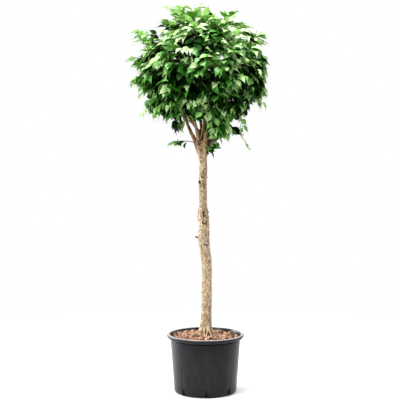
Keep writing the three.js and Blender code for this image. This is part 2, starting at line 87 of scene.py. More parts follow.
def unit(vector: np.ndarray) -> np.ndarray:
    """A vector made one long."""
    return vector / max(float(np.linalg.norm(vector)), 1e-12)


def rotation(yaw: float, pitch: float, roll: float) -> np.ndarray:
    """A turn about Z, then Y, then X, as a matrix.

    Args:
        yaw: The angle about Z, in radians.
        pitch: The angle about Y.
        roll: The angle about X.

    Returns:
        The 3 by 3 matrix.
    """
    cz, sz, cy, sy, cx, sx = (f(a) for a in (yaw, pitch, roll) for f in (math.cos, math.sin))
    about_z = np.array([[cz, -sz, 0], [sz, cz, 0], [0, 0, 1]])
    about_y = np.array([[cy, 0, sy], [0, 1, 0], [-sy, 0, cy]])
    about_x = np.array([[1, 0, 0], [0, cx, -sx], [0, sx, cx]])
    return about_z @ about_y @ about_x


def smoothstep(low: float, high: float, value: np.ndarray) -> np.ndarray:
    """How far values have come from low to high, eased at both ends.

    Args:
        low: Where the step starts.
        high: Where it ends.
        value: The values to place on it.

    Returns:
        Shares from 0 to 1.
    """
    share = np.clip((value - low) / (high - low), 0, 1)
    return share * share * (3 - 2 * share)


def only(*objects: bpy.types.Object) -> None:
    """Selects these objects and nothing else, with the first one active."""
    bpy.ops.object.select_all(action="DESELECT")
    for each in objects:
        each.select_set(True)
    bpy.context.view_layer.objects.active = objects[0]


def apply_modifier(piece: bpy.types.Object, kind: str, **settings: object) -> None:
    """Adds a modifier to a piece and applies it.

    Args:
        piece: The object to change.
        kind: The modifier's type.
        **settings: Its properties.
    """
    only(piece)
    modifier = piece.modifiers.new(kind.lower(), kind)
    for name, value in settings.items():
        setattr(modifier, name, value)
    bpy.ops.object.modifier_apply(modifier=modifier.name)


def rows_of(elements: bpy.types.bpy_prop_collection, attribute: str) -> Points:
    """Reads a vector attribute of a mesh's vertices or faces.

    Args:
        elements: The mesh's vertices or polygons.
        attribute: The attribute's name.

    Returns:
        One row of three for each element.
    """
    values = np.empty(len(elements) * 3, np.float32)
    elements.foreach_get(attribute, values)
    return values.reshape(-1, 3).astype(float)


def move_vertices(piece: bpy.types.Object, places: Points) -> None:
    """Puts a piece's vertices at new places."""
    piece.data.vertices.foreach_set("co", places.astype(np.float32).ravel())
    piece.data.update()


def shade_smooth(piece: bpy.types.Object, degrees: float) -> None:
    """Shades a piece smooth, with its edges over so many degrees kept sharp."""
    only(piece)
    bpy.ops.object.shade_smooth_by_angle(angle=math.radians(degrees))


def noise_field(places: Points, pitch: Sequence[float], seed: float) -> np.ndarray:
    """Smooth noise at each place.

    Args:
        places: The places to read it at.
        pitch: The size of its waves along X, Y and Z, in metres.
        seed: Shifts the field, so that two with one pitch differ.

    Returns:
        A value of about -1 to 1 for each place.
    """
    scaled = places / np.asarray(pitch) + seed
    return np.array([noise.noise(Vector(row)) for row in scaled])


def turned(name: str, profile: Sequence[tuple[float, float]], segments: int) -> bpy.types.Object:
    """Raises a round solid ring by ring, from a disc.

    Args:
        name: The object's name.
        profile: Pairs of radius and height, starting at the disc, in metres.
        segments: How many sides the rings have.

    Returns:
        The closed solid.
    """
    bpy.ops.object.select_all(action="DESELECT")
    radius, height = profile[0]
    bpy.ops.mesh.primitive_circle_add(
        vertices=segments, radius=radius, fill_type="NGON", location=(0, 0, height)
    )
    piece = bpy.context.object
    piece.name = name
    bpy.ops.object.mode_set(mode="EDIT")
    bpy.ops.mesh.select_all(action="SELECT")
    for next_radius, next_height in profile[1:]:
        bpy.ops.mesh.extrude_region_move(
            TRANSFORM_OT_translate={"value": (0, 0, next_height - height)}
        )
        growth = next_radius / radius
        bpy.ops.transform.resize(value=(growth, growth, 1), center_override=(0, 0, next_height))
        radius, height = next_radius, next_height
    bpy.ops.mesh.select_all(action="SELECT")
    bpy.ops.mesh.normals_make_consistent(inside=False)
    bpy.ops.object.mode_set(mode="OBJECT")
    settle(piece)
    return piece


def settle(piece: bpy.types.Object) -> None:
    """Moves a piece's place, turn and scale into its mesh."""
    only(piece)
    bpy.ops.object.transform_apply(location=True, rotation=True, scale=True)


def join(pieces: Sequence[bpy.types.Object], name: str) -> bpy.types.Object:
    """Joins pieces into one object.

    Args:
        pieces: The objects, which are used up.
        name: The joined object's name.

    Returns:
        The joined object.
    """
    only(*pieces)
    if len(pieces) > 1:
        bpy.ops.object.join()
    pieces[0].name = name
    return pieces[0]


def smooth_path(points: Points, count: int) -> Points:
    """A curve through points, as evenly numbered steps.

    Args:
        points: The points it passes through, one row each.
        count: How many steps it is given.

    Returns:
        One row for each step.
    """
    padded = np.vstack([2 * points[0] - points[1], points, 2 * points[-1] - points[-2]])
    places = []
    for share in np.linspace(0, len(points) - 1, count):
        i = min(int(share), len(points) - 2)
        t = share - i
        a, b, c, d = padded[i : i + 4]
        places.append(
            0.5 * (2 * b + (c - a) * t + (2 * a - 5 * b + 4 * c - d) * t**2 + (3 * b - a - 3 * c + d) * t**3)
        )
    return np.array(places)


def limb_tube(path: Points, radii: Sequence[float]) -> bpy.types.Object:
    """Makes a limb: a round tube with closed ends, of a radius that changes along its path.

    Args:
        path: The limb's middle, one row for each step.
        radii: Its radius at each step.

    Returns:
        The limb as a mesh.
    """
    bpy.ops.object.select_all(action="DESELECT")
    bpy.ops.curve.primitive_nurbs_path_add(location=(0, 0, 0))
    made = bpy.context.object
    curve = made.data
    curve.splines.clear()
    spline = curve.splines.new("POLY")
    spline.points.add(len(path) - 1)
    for point, place, radius in zip(spline.points, path, radii):
        point.co = (*place, 1)
        point.radius = radius
    curve.bevel_depth = 1.0
    curve.bevel_resolution = 4
    curve.use_fill_caps = True
    only(made)
    bpy.ops.object.convert(target="MESH")
    return bpy.context.object


def ride_as(piece: bpy.types.Object, nodes: Sequence[str] = ()) -> None:
    """Hangs a finished piece on the plant's one body and reports it.

    Args:
        piece: The finished piece.
        nodes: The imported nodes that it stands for.
    """
    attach(piece, BODY)
    if nodes:
        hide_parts(*nodes)
    triangles = sum(len(face.vertices) - 2 for face in piece.data.polygons)
    log.info("%s: %d triangles", piece.name, triangles)


# --- Finishes ---


def add_node(
    tree: bpy.types.NodeTree, kind: str, inputs: dict[str | int, object] | None = None, **settings: object
) -> bpy.types.Node:
    """Adds a node to a shader.

    Args:
        tree: The shader's node tree.
        kind: The node's type, without its ShaderNode prefix.
        inputs: For each input, a socket to link to it or a value to set on it.
        **settings: The node's properties.

    Returns:
        The node.
    """
    made = tree.nodes.new("ShaderNode" + kind)
    for name, value in settings.items():
        setattr(made, name, value)
    for name, value in (inputs or {}).items():
        if isinstance(value, bpy.types.NodeSocket):
            tree.links.new(value, made.inputs[name])
        else:
            made.inputs[name].default_value = value
    return made


@dataclass(frozen=True)
class Finish:
    """A plain finish: one colour under one gloss.

    Attributes:
        name: What the real material is.
        color: Its colour, as sRGB hex.
        roughness: How matt it is, from 0 to 1.
        ior: Its index of refraction.
    """

    name: str
    color: str
    roughness: float
    ior: float = 1.45

    def material(self) -> bpy.types.Material:
        """The finish as a material, made once."""
        known = bpy.data.materials.get(self.name)
        if known:
            return known
        made = bpy.data.materials.new(self.name)
        made.use_nodes = True
        tree = made.node_tree
        tree.nodes.clear()
        shader = add_node(
            tree,
            "BsdfPrincipled",
            {"Base Color": linear(self.color), "Roughness": self.roughness, "IOR": self.ior},
        )
        add_node(tree, "OutputMaterial", {"Surface": shader.outputs["BSDF"]})
        self.detail(tree, shader)
        made.diffuse_color = linear(self.color)
        return made

    def detail(self, tree: bpy.types.NodeTree, shader: bpy.types.Node) -> None:
        """Adds the surface's own pattern. A plain finish has none."""

    def lay(
        self,
        tree: bpy.types.NodeTree,
        shader: bpy.types.Node,
        layers: Sequence[tuple[bpy.types.NodeSocket, float, float, float, str]],
        height: bpy.types.NodeSocket,
        strength: float,
        depth: float,
    ) -> None:
        """Lays colours over the finish's own and gives it its relief.

        Args:
            tree: The shader's node tree.
            shader: Its principled node.
            layers: For each colour its pattern, the pattern's values where the colour begins and where it
                is fullest, its share there and its sRGB hex.
            height: The pattern of the relief.
            strength: How strong the relief is, from 0 to 1.
            depth: How deep the relief is, in metres.
        """
        color: object = linear(self.color)
        for value, low, high, most, tint in layers:
            share = add_node(
                tree, "MapRange", {"Value": value, "From Min": low, "From Max": high, "To Max": most}
            )
            mix = add_node(tree, "Mix", {0: share.outputs[0], 6: color, 7: linear(tint)}, data_type="RGBA")
            color = mix.outputs[2]
        tree.links.new(color, shader.inputs["Base Color"])
        bump = add_node(tree, "Bump", {"Height": height, "Strength": strength, "Distance": depth})
        tree.links.new(bump.outputs["Normal"], shader.inputs["Normal"])

    def pattern(
        self, tree: bpy.types.NodeTree, size: float, stretch: Sequence[float] = (1, 1, 1), detail: float = 3
    ) -> bpy.types.NodeSocket:
        """Adds noise in the object's own coordinates.

        Args:
            tree: The shader's node tree.
            size: The size of its grains, in metres.
            stretch: How many times longer the grains are along X, Y and Z.
            detail: How many finer octaves it has.

        Returns:
            The socket of its value.
        """
        place = add_node(tree, "TexCoord").outputs["Object"]
        scale = tuple(1 / each for each in stretch)
        mapped = add_node(tree, "Mapping", {"Vector": place, "Scale": scale})
        grains = add_node(
            tree,
            "TexNoise",
            {"Vector": mapped.outputs["Vector"], "Scale": 1 / size, "Detail": detail, "Roughness": 0.6},
        )
        return grains.outputs[0]


@dataclass(frozen=True)
class MouldedPot(Finish):
    """Black polypropylene, injection moulded: satin, with faint upright streaks from the tool's draw.

    Real streaks are finer. They are drawn 5 mm wide, so that they show in the picture.

    Attributes:
        worn: The paler grey of its streaks and scuffs, as sRGB hex.
    """

    worn: str = "#202226"

    def detail(self, tree: bpy.types.NodeTree, shader: bpy.types.Node) -> None:
        """Adds the streaks and a fine moulded grain.

        Args:
            tree: The shader's node tree.
            shader: Its principled node.
        """
        streaks = self.pattern(tree, 5 * MM, (1, 1, 60), 2)
        scuffs = self.pattern(tree, 35 * MM, (1, 1, 1.6), 5)
        grain = self.pattern(tree, 1.2 * MM, (1, 1, 6), 2)
        both = add_node(tree, "Math", {0: streaks, 1: scuffs}, operation="MULTIPLY").outputs[0]
        height = add_node(tree, "Math", {0: streaks, 1: grain}, operation="ADD").outputs[0]
        self.lay(tree, shader, [(both, 0.2, 0.42, 0.55, self.worn)], height, 0.12, 0.4 * MM)


@dataclass(frozen=True)
class FigBark(Finish):
    """Smooth fig bark: pale tan, mottled with darker and paler spots, with fine lengthwise furrows.

    Real spots are a few millimetres wide. They are drawn 9 to 13 mm wide, to show in the picture.

    Attributes:
        pale: The lighter mottling, as sRGB hex.
        dark: The darker mottling and the furrows.
        weathered: The greyer patches.
    """

    pale: str = "#dac7ab"
    dark: str = "#6b5237"
    weathered: str = "#94866e"

    def detail(self, tree: bpy.types.NodeTree, shader: bpy.types.Node) -> None:
        """Adds the mottling, the patches and the furrows.

        Args:
            tree: The shader's node tree.
            shader: Its principled node.
        """
        mottling = self.pattern(tree, 13 * MM, (1, 1, 1.3), 5)
        spots = self.pattern(tree, 9 * MM, (1.4, 1.4, 1), 5)
        patches = self.pattern(tree, 60 * MM, (1, 1, 2.2), 3)
        furrows = self.pattern(tree, 2.6 * MM, (1, 1, 7), 3)
        layers = [
            (mottling, 0.47, 0.57, 0.95, self.pale),
            (patches, 0.5, 0.68, 0.6, self.weathered),
            (spots, 0.52, 0.6, 0.85, self.dark),
            (furrows, 0.6, 0.72, 0.5, self.dark),
        ]
        height = add_node(tree, "Math", {0: furrows, 1: spots}, operation="ADD").outputs[0]
        self.lay(tree, shader, layers, height, 0.8, 0.9 * MM)


@dataclass(frozen=True)
class Grained(Finish):
    """A dry, crumbly or woody surface: one colour that a fine grain lightens and darkens.

    Attributes:
        shade: The grain's darker colour, as sRGB hex.
        grain: The grain's size, in metres.
        relief: How deep the grain is, in metres.
    """

    shade: str = "#000000"
    grain: float = 2.5 * MM
    relief: float = 0.5 * MM

    def detail(self, tree: bpy.types.NodeTree, shader: bpy.types.Node) -> None:
        """Adds the grain.

        Args:
            tree: The shader's node tree.
            shader: Its principled node.
        """
        grains = self.pattern(tree, self.grain)
        self.lay(tree, shader, [(grains, 0.42, 0.68, 1.0, self.shade)], grains, 0.5, self.relief)


POT_PLASTIC = MouldedPot("moulded_black_polypropylene", "#0d0f13", 0.32, 1.3)
# The rim's upward faces are pale grey: partly real dust, partly a painted highlight of the light from above.
RIM_DUST_AND_HIGHLIGHT = Grained("rim_dust_and_painted_highlight", "#bdb9b2", 0.75, shade="#77756f", grain=6 * MM, relief=0.2 * MM)
TRUNK_BARK = FigBark("smooth_fig_bark", "#a18869", 0.8, 1.4, "#cdbca0")
# The bark of the trunk's head and of the boughs is darker than the trunk's: painted shade of the crown
# above.
HEAD_BARK = FigBark("shaded_head_bark", "#95805f", 0.8, 1.4, "#b39d79", "#563f28", "#7b6b51")
BOUGH_BARK = FigBark("shaded_bough_bark", "#806343", 0.8, 1.4, "#a98a65", "#422c1a", "#69573f")
SCAR_WOOD = Grained("weathered_scar_wood", "#4a3520", 0.9, shade="#1d140c", grain=3 * MM)
ROOT_SKIN = Grained("pale_root_skin", "#ecd9b6", 0.75, shade="#c3a479", grain=4 * MM, relief=0.4 * MM)
# The potting mix is near black: partly its own dark brown, partly painted shade in the gaps between the
# chips.
POTTING_MIX_AND_GAP_SHADE = Grained("potting_mix_and_painted_gap_shade", "#24170f", 0.95, shade="#0c0705", grain=5 * MM, relief=2 * MM)
# The twig bark is darker than real: partly its own brown, partly painted shade of the crown's dark inside.
SHADED_TWIG_BARK = Grained("twig_bark_with_painted_shade", "#54402a", 0.7, shade="#2c2012", grain=3 * MM, relief=0.2 * MM)
SHOOT_BARK = Grained("green_shoot_bark", "#4f5c2a", 0.6, shade="#35421b", grain=3 * MM, relief=0.1 * MM)

CHIP_FINISHES = (
    Grained("pine_bark_red_brown", "#b07e62", 0.92, shade="#8a5c47", grain=3 * MM),
    Grained("pine_bark_pink", "#cfa68c", 0.92, shade="#b08467", grain=3 * MM),
    Grained("pine_bark_brown", "#845840", 0.92, shade="#5c3a2a", grain=3 * MM),
    Grained("pine_bark_pale_face", "#ecd2bb", 0.92, shade="#d0aa8c", grain=3 * MM),
    Grained("pine_bark_dark", "#4a2d20", 0.92, shade="#28170f", grain=3 * MM),
)


class LeafShade(Enum):
    """The shades of leaf, from the darkest, deep in the crown, to the palest, at its top, its rim and its
    tips.

    The shades are partly real and partly painted light: young leaves at the tips are paler, while the rest
    is painted shade inside and low in the crown and painted light at its top and rim. A leaf is waxy above,
    so that it mirrors the sky softly, and paler and duller below. Each shade has the sRGB hex of its upper
    side and of its underside, and the index of refraction of its wax. The darkest leaves have a lower one,
    so that, as painted shade, they mirror almost nothing.
    """

    # DEEP and DARK are mostly painted shade of the crown's inside. LIGHT and FRESH are partly painted light
    # on its top and rim.
    DEEP = ("#061f01", "#0f2c06", 1.08)
    DARK = ("#154407", "#2c5519", 1.17)
    MIDDLE = ("#428828", "#5b9638", 1.5)
    LIGHT = ("#79b457", "#8bbc63", 1.62)
    FRESH = ("#a8cb86", "#b4d68c", 1.62)

    def finishes(self) -> tuple[Finish, Finish]:
        """The finishes of the leaf's upper side and its underside."""
        upper, under, ior = self.value
        name = self.name.lower()
        return (
            Finish(f"waxy_leaf_{name}", upper, 0.33, ior),
            Finish(f"leaf_underside_{name}", under, 0.6, min(ior, 1.3)),
        )


LEAF_FINISHES = [finish for shade in LeafShade for finish in shade.finishes()]


def wear(piece: bpy.types.Object, finishes: Sequence[Finish], chosen: Sequence[int] | np.ndarray) -> None:
    """Gives a piece its finishes.

    Args:
        piece: The piece to dress.
        finishes: The finishes it wears.
        chosen: For each of its faces, the number of the finish there.
    """
    piece.data.materials.clear()
    for finish in finishes:
        piece.data.materials.append(finish.material())
    piece.data.polygons.foreach_set("material_index", np.asarray(chosen, np.int32))


@dataclass
class MeshBatch:
    """Small shapes gathered for one joined mesh.

    Attributes:
        vertices: The places of each shape's vertices.
        faces: The vertex numbers of every face.
        chosen: The number of every face's finish.
        count: How many vertices there are so far.
    """

    vertices: list[Points] = field(default_factory=list)
    faces: Faces = field(default_factory=list)
    chosen: list[int] = field(default_factory=list)
    count: int = 0

    def add(self, places: Points, faces: Sequence[Sequence[int]], chosen: Sequence[int]) -> None:
        """Adds one shape.

        Args:
            places: Its vertices, one row each.
            faces: The vertex numbers of its faces.
            chosen: The number of each face's finish.
        """
        self.vertices.append(places)
        self.faces += [tuple(self.count + number for number in face) for face in faces]
        self.chosen += chosen
        self.count += len(places)

    def build(self, name: str, finishes: Sequence[Finish], degrees: float) -> bpy.types.Object:
        """Joins the shapes into one object, at the origin.

        Args:
            name: The object's name.
            finishes: The finishes that the numbers stand for.
            degrees: The angle over which its edges stay sharp.

        Returns:
            The object, dressed and shaded smooth.
        """
        mesh = bpy.data.meshes.new(name)
        mesh.from_pydata(np.vstack(self.vertices).tolist(), [], self.faces)
        mesh.validate()
        made = bpy.data.objects.new(name, mesh)
        bpy.context.scene.collection.objects.link(made)
        wear(made, finishes, self.chosen)
        shade_smooth(made, degrees)
        return made


# --- Pot and fill ---


@dataclass
class GrowersPot:
    """The round black pot, with a rolled rim and drain slots at its foot. Its sizes are in metres.

    Attributes:
        segments: How many sides its rings have.
        rim_width: How far its rim stands inwards.
        rim_drop: How far down its rim's skirt comes.
        rim_round: The radius of the rim's outer edge.
        overhang: How far the rim stands out over the wall.
        taper: How far in from the rim's edge the wall is at its foot.
        base_inset: How far in from the rim's edge the rounded foot meets the underside.
        foot_rise: The height of its rounded foot.
        wall: Its wall's thickness.
        floor: Its floor's thickness.
        slot_count: How many drain slots it has.
        slot_width: A drain slot's width.
        slot_foot: The height where a drain slot starts.
        slot_top: The height it reaches.
        slot_depth: How deep its cutter is.
        first_slot: The azimuth of one of them, in degrees.
        edge_round: The radius of all its sharp edges.
        dusty_and_lit: How far down from its top the rim's upward faces are painted pale, as dust and as a
            painted highlight.
        rim_radius: Its outer radius, taken from the frame.
        height: Its height, taken from the frame.
    """

    segments: int = 128
    rim_width: float = 17 * MM
    rim_drop: float = 19 * MM
    rim_round: float = 5 * MM
    overhang: float = 19 * MM
    taper: float = 38 * MM
    base_inset: float = 48 * MM
    foot_rise: float = 26 * MM
    wall: float = 4 * MM
    floor: float = 6 * MM
    slot_count: int = 8
    slot_width: float = 16 * MM
    slot_foot: float = 7 * MM
    slot_top: float = 39 * MM
    slot_depth: float = 40 * MM
    first_slot: float = -88.0
    edge_round: float = 0.8 * MM
    dusty_and_lit: float = 6 * MM
    rim_radius: float = field(init=False)
    height: float = field(init=False)

    def __post_init__(self) -> None:
        """Takes the pot's overall sizes from the frame."""
        low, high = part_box("pot")
        self.rim_radius = (high.x - low.x) / 2
        self.height = high.z

    @property
    def wall_top(self) -> float:
        """The wall's outer radius under the rim."""
        return self.rim_radius - self.overhang

    @property
    def wall_foot(self) -> float:
        """The wall's outer radius above the rounded foot."""
        return self.rim_radius - self.taper

    def inner_radius(self, height: float) -> float:
        """The pot's inner radius at a height between its foot and its rim."""
        share = (height - self.foot_rise) / (self.height - self.rim_drop - self.foot_rise)
        return self.wall_foot + share * (self.wall_top - self.wall_foot) - self.wall

    def profile(self) -> list[tuple[float, float]]:
        """The pot's outline, from its underside up outside, over the rim and down inside."""
        rim, top, rounded = self.rim_radius, self.height, self.rim_round
        ledge, mouth, foot = top - self.rim_drop, rim - self.rim_width, rim - self.base_inset
        foot_angles = [step * math.pi / 12 for step in range(1, 7)]
        rim_angles = [step * math.pi / 8 for step in range(5)]
        return [
            # The flat underside and the rounded foot.
            (foot - 12 * MM, 0),
            (foot, 0),
            *(
                (foot + (self.wall_foot - foot) * math.sin(angle), self.foot_rise * (1 - math.cos(angle)))
                for angle in foot_angles
            ),
            # The wall's top, which steps in under the rim.
            (self.wall_top, ledge - 9 * MM),
            (self.wall_top - 3 * MM, ledge - 6 * MM),
            (self.wall_top - 3 * MM, ledge),
            # The rim's skirt and its rounded outer edge.
            (rim - 9 * MM, ledge),
            (rim - 4 * MM, ledge + 1 * MM),
            (rim - 1 * MM, ledge + rounded),
            *(
                (rim - rounded + rounded * math.cos(angle), top - rounded + rounded * math.sin(angle))
                for angle in rim_angles
            ),
            # The rim's inner edge, and the wall inside down to the floor.
            (mouth + 4 * MM, top),
            (mouth + 1 * MM, top - 1.5 * MM),
            (mouth, top - 5 * MM),
            (self.inner_radius(ledge), ledge - 2 * MM),
            (self.inner_radius(self.foot_rise), self.foot_rise),
            (foot - self.wall, self.floor),
        ]

    def slot_cutters(self) -> bpy.types.Object:
        """The drain slots' shape, modelled once and set round the foot."""
        bpy.ops.object.select_all(action="DESELECT")
        middle = (self.rim_radius - self.base_inset, 0, (self.slot_top + self.slot_foot) / 2)
        size = (self.slot_depth, self.slot_width, self.slot_top - self.slot_foot)
        bpy.ops.mesh.primitive_cube_add(size=1, location=middle, scale=size)
        first = bpy.context.object
        settle(first)
        mesh = first.data
        bpy.ops.object.mode_set(mode="EDIT")
        bpy.ops.mesh.select_all(action="DESELECT")
        bpy.ops.object.mode_set(mode="OBJECT")
        for edge in mesh.edges:
            ends = [mesh.vertices[i].co for i in edge.vertices]
            level = all(end.z > middle[2] for end in ends)
            edge.select = level and abs(ends[0].y - ends[1].y) < 1e-6
        bpy.ops.object.mode_set(mode="EDIT")
        bpy.ops.mesh.select_mode(type="EDGE")
        bpy.ops.mesh.bevel(offset=0.49 * self.slot_width, segments=6)
        bpy.ops.object.mode_set(mode="OBJECT")
        places = rows_of(mesh.vertices, "co")
        cutters = [first]
        for _ in range(1, self.slot_count):
            copy = first.copy()
            copy.data = mesh.copy()
            bpy.context.scene.collection.objects.link(copy)
            cutters.append(copy)
        for i, cutter in enumerate(cutters):
            out = heading(self.first_slot + i * 360 / self.slot_count)
            move_vertices(cutter, places @ np.array([out, np.cross(UP, out), UP]))
        return join(cutters, "slot_cutters")

    def build(self) -> None:
        """Models the pot, cuts its slots and dresses it, with dust and a painted highlight on the upward
        faces along the top of its rim.
        """
        pot = turned("growers_pot", self.profile(), self.segments)
        cutters = self.slot_cutters()
        apply_modifier(pot, "BOOLEAN", operation="DIFFERENCE", object=cutters, solver="EXACT")
        bpy.data.objects.remove(cutters)
        apply_modifier(
            pot, "BEVEL", width=self.edge_round, segments=2, limit_method="ANGLE", angle_limit=0.7
        )
        shade_smooth(pot, 35)
        # The faces near the top that face upwards get the pale finish: dust and a painted highlight.
        dusty_and_lit_from = self.height - self.dusty_and_lit
        dusty_and_lit = [face.normal.z > 0.6 and face.center.z > dusty_and_lit_from for face in pot.data.polygons]
        wear(pot, (POT_PLASTIC, RIM_DUST_AND_HIGHLIGHT), dusty_and_lit)
        ride_as(pot, ["pot"])


@dataclass
class ChipFill:
    """The potting mix and the bark chips that lie on it. Its sizes are in metres.

    Attributes:
        pot: The pot it fills.
        ground: The height of its surface at the trunk.
        slope: How far it falls from there to the pot's wall.
        plateau: How far out the middle stays level.
        gap: The room between the mix and the pot.
        cover: How deep under the surface the mix lies.
        lump: How high the mix's lumps stand.
        chips: How many chips lie on it.
        chip_size: A chip's length, width and thickness.
        stretches: How each of the few shapes of chip differs from that size.
        worn: How far a chip's corners are worn off.
        uneven: How uneven its faces are, as a share of its size.
        near: How near the middle a chip may lie.
        margin: How far from the wall it stays.
        tilt: How unevenly the chips lie, in radians.
        shares: How common each colour of chip is.
        seed: Deals out the chips.
    """

    pot: GrowersPot
    ground: float = field(default_factory=lambda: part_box("bark_chip_fill")[1].z - 2 * MM)
    slope: float = 7 * MM
    plateau: float = 95 * MM
    gap: float = 0.5 * MM
    cover: float = 3 * MM
    lump: float = 2.2 * MM
    chips: int = 1600
    chip_size: tuple[float, float, float] = (14 * MM, 9 * MM, 4.5 * MM)
    stretches: Sequence[tuple[float, float, float]] = (
        (1, 1, 1),
        (1.25, 0.8, 0.8),
        (0.8, 1.1, 1.25),
        (1.0, 0.7, 1.0),
    )
    worn: float = 0.28
    uneven: float = 0.055
    near: float = 25 * MM
    margin: float = 9 * MM
    tilt: float = 0.45
    shares: tuple[float, ...] = (0.23, 0.26, 0.16, 0.2, 0.15)
    seed: int = 7

    @property
    def edge(self) -> float:
        """The height of its surface at the pot's wall."""
        return self.ground - self.slope

    def surface(self, radius: np.ndarray) -> np.ndarray:
        """The height of the surface at distances from the pot's middle."""
        outer = self.pot.inner_radius(self.edge)
        return self.ground + (self.edge - self.ground) * smoothstep(self.plateau, outer, radius)

    def bed(self) -> None:
        """Models the potting mix under the chips: a solid with a rough top."""
        pot, gap = self.pot, self.gap
        rings = np.linspace(pot.inner_radius(self.edge) - 2 * gap, 4 * MM, 26)
        profile = [
            (pot.rim_radius - pot.base_inset - pot.wall - gap, pot.floor + gap),
            (pot.inner_radius(pot.foot_rise) - gap, pot.foot_rise),
            *((float(r), float(self.surface(r)) - self.cover) for r in rings),
        ]
        bed = turned("potting_mix", profile, 96)
        places = rows_of(bed.data.vertices, "co")
        on_top = places[:, 2] > self.edge - 8 * MM
        lumps = noise_field(places, (9 * MM, 9 * MM, 9 * MM), 3.7)
        places[on_top, 2] += self.lump * lumps[on_top]
        move_vertices(bed, places)
        # Its near-black colour is partly painted shade where it shows between the chips.
        bed.data.materials.append(POTTING_MIX_AND_GAP_SHADE.material())
        shade_smooth(bed, 60)
        ride_as(bed, ["bark_chip_fill"])

    def chip_shapes(self, draws: np.random.Generator) -> list[tuple[Points, Faces]]:
        """Models a few chips: flat, broken pieces of bark with uneven faces.

        Args:
            draws: Where their unevenness comes from.

        Returns:
            The vertices and faces of each.
        """
        half_diagonal = 0.87
        shapes = []
        for stretch in self.stretches:
            bpy.ops.object.select_all(action="DESELECT")
            bpy.ops.mesh.primitive_cube_add(size=1, location=(0, 0, 0))
            chip = bpy.context.object
            bpy.ops.object.mode_set(mode="EDIT")
            bpy.ops.mesh.subdivide(number_cuts=1)
            bpy.ops.object.mode_set(mode="OBJECT")
            places = rows_of(chip.data.vertices, "co")
            corner = np.linalg.norm(places, axis=1) / half_diagonal
            places *= (1 - self.worn * np.clip(corner, 0, 1) ** 3)[:, None]
            places += draws.normal(0, self.uneven, places.shape)
            places *= np.array(self.chip_size) * np.array(stretch)
            shapes.append((places, [tuple(face.vertices) for face in chip.data.polygons]))
            bpy.data.objects.remove(chip)
        return shapes

    def loose_chips(self) -> None:
        """Lays the chips over the bed, tilted at random on one another."""
        draws = np.random.default_rng(self.seed)
        shapes = self.chip_shapes(draws)
        outer = self.pot.inner_radius(self.edge) - self.margin
        batch = MeshBatch()
        for _ in range(self.chips):
            radius = math.sqrt(draws.uniform(self.near**2, outer**2))
            azimuth = draws.uniform(0, 360)
            turn = rotation(draws.uniform(0, TURN), draws.normal(0, self.tilt), draws.normal(0, self.tilt))
            places, faces = shapes[draws.integers(len(shapes))]
            size = draws.uniform(0.65, 1.15)
            rise = draws.uniform(-3, 6) * MM
            middle = heading(azimuth) * radius + UP * (float(self.surface(radius)) + rise)
            color = draws.choice(len(CHIP_FINISHES), p=self.shares)
            batch.add(places @ turn.T * size + middle, faces, [color] * len(faces))
        ride_as(batch.build("loose_bark_chips", CHIP_FINISHES, 25))

    def build(self) -> None:
        """Models the fill: its bed, and the chips on it."""
        self.bed()
        self.loose_chips()


# --- The plant's rule of growth, the same as its solids' ---


def draws_from(seed: int) -> Callable[[], float]:
    """A seeded stream of numbers from 0 to 1, the same as the solids are grown from.

    Args:
        seed: Where the stream starts.

    Returns:
        A function that gives the next number.
    """
    mask = 0xFFFFFFFF
    state = seed & mask

    def draw() -> float:
        """The stream's next number."""
        nonlocal state
        state = (state + 0x6D2B79F5) & mask
        mixed = ((state ^ (state >> 15)) * (state | 1)) & mask
        mixed ^= (mixed + (((mixed ^ (mixed >> 7)) * (mixed | 61)) & mask)) & mask
        return ((mixed ^ (mixed >> 14)) & mask) / 4294967296

    return draw


# The trunk from the ground to its fork: height, sideways lean, lean in depth, radius, in millimetres.
TRUNK_STATIONS = (
    (272, 3, 0, 40),
    (300, 3, 0, 37),
    (349, 2, 1, 32),
    (395, 4, 2, 29),
    (473, 7, 3, 27),
    (628, 8, 3, 26.5),
    (690, 5, 1, 28),
    (731, -3, -1, 27.5),
    (790, -8, -2, 30),
    (845, -6, -1, 27.5),
    (907, -10, 1, 28.5),
    (964, -12, 3, 21.5),
    (1083, -13, 3, 21),
    (1196, -13, 1, 20.5),
    (1233, -13, 0, 25),
    (1262, -14, 0, 29),
    (1284, -18, -9, 33),
    (1302, -20, -6, 28),
)

# Pruned stubs and nubs on the trunk: height in millimetres, azimuth in degrees, length and radius.
TRUNK_SNAGS = (
    (792, 168, 20, 4.2),
    (823, 178, 6, 3.4),
    (879, 180, 6, 3.4),
    (926, 350, 6, 4),
    (1083, 200, 4, 6),
    (1103, 358, 6, 4),
    (1225, 325, 17, 5),
)

# Knots where a bough was cut off: height, azimuth, radius, the depth of the pit, the ring's rise.
TRUNK_KNOTS = (
    (926, 275, 10, 2.4, 2.0),
    (914, 277, 9, 2.4, 1.6),
    (883, 283, 15, 3.5, 4.0),
    (903, 352, 7, 2.0, 2.0),
    (1084, 220, 11, 3.5, 2.0),
    (1066, 228, 6, 1.5, 1.0),
    (764, 274, 7, 2.4, 1.8),
    (761, 296, 7, 2.0, 1.6),
    (708, 262, 5, 1.8, 1.0),
    (1284, 246, 11, 8.0, 0.5),
    (1251, 248, 6, 2.0, 1.0),
    (1229, 300, 7, 2.5, 1.5),
    (1140, 272, 5, 1.0, 1.2),
    (1112, 256, 6, 1.0, 1.0),
    (1110, 278, 5, 1.0, 1.0),
    (600, 205, 4, 1.4, 1.5),
    (560, 210, 4, 1.4, 1.5),
    (515, 203, 5, 1.4, 1.5),
    (520, 60, 8, 2.4, 2.0),
    (860, 95, 10, 3.0, 3.0),
    (1040, 130, 7, 2.2, 1.8),
    (690, 30, 6, 2.0, 1.6),
)

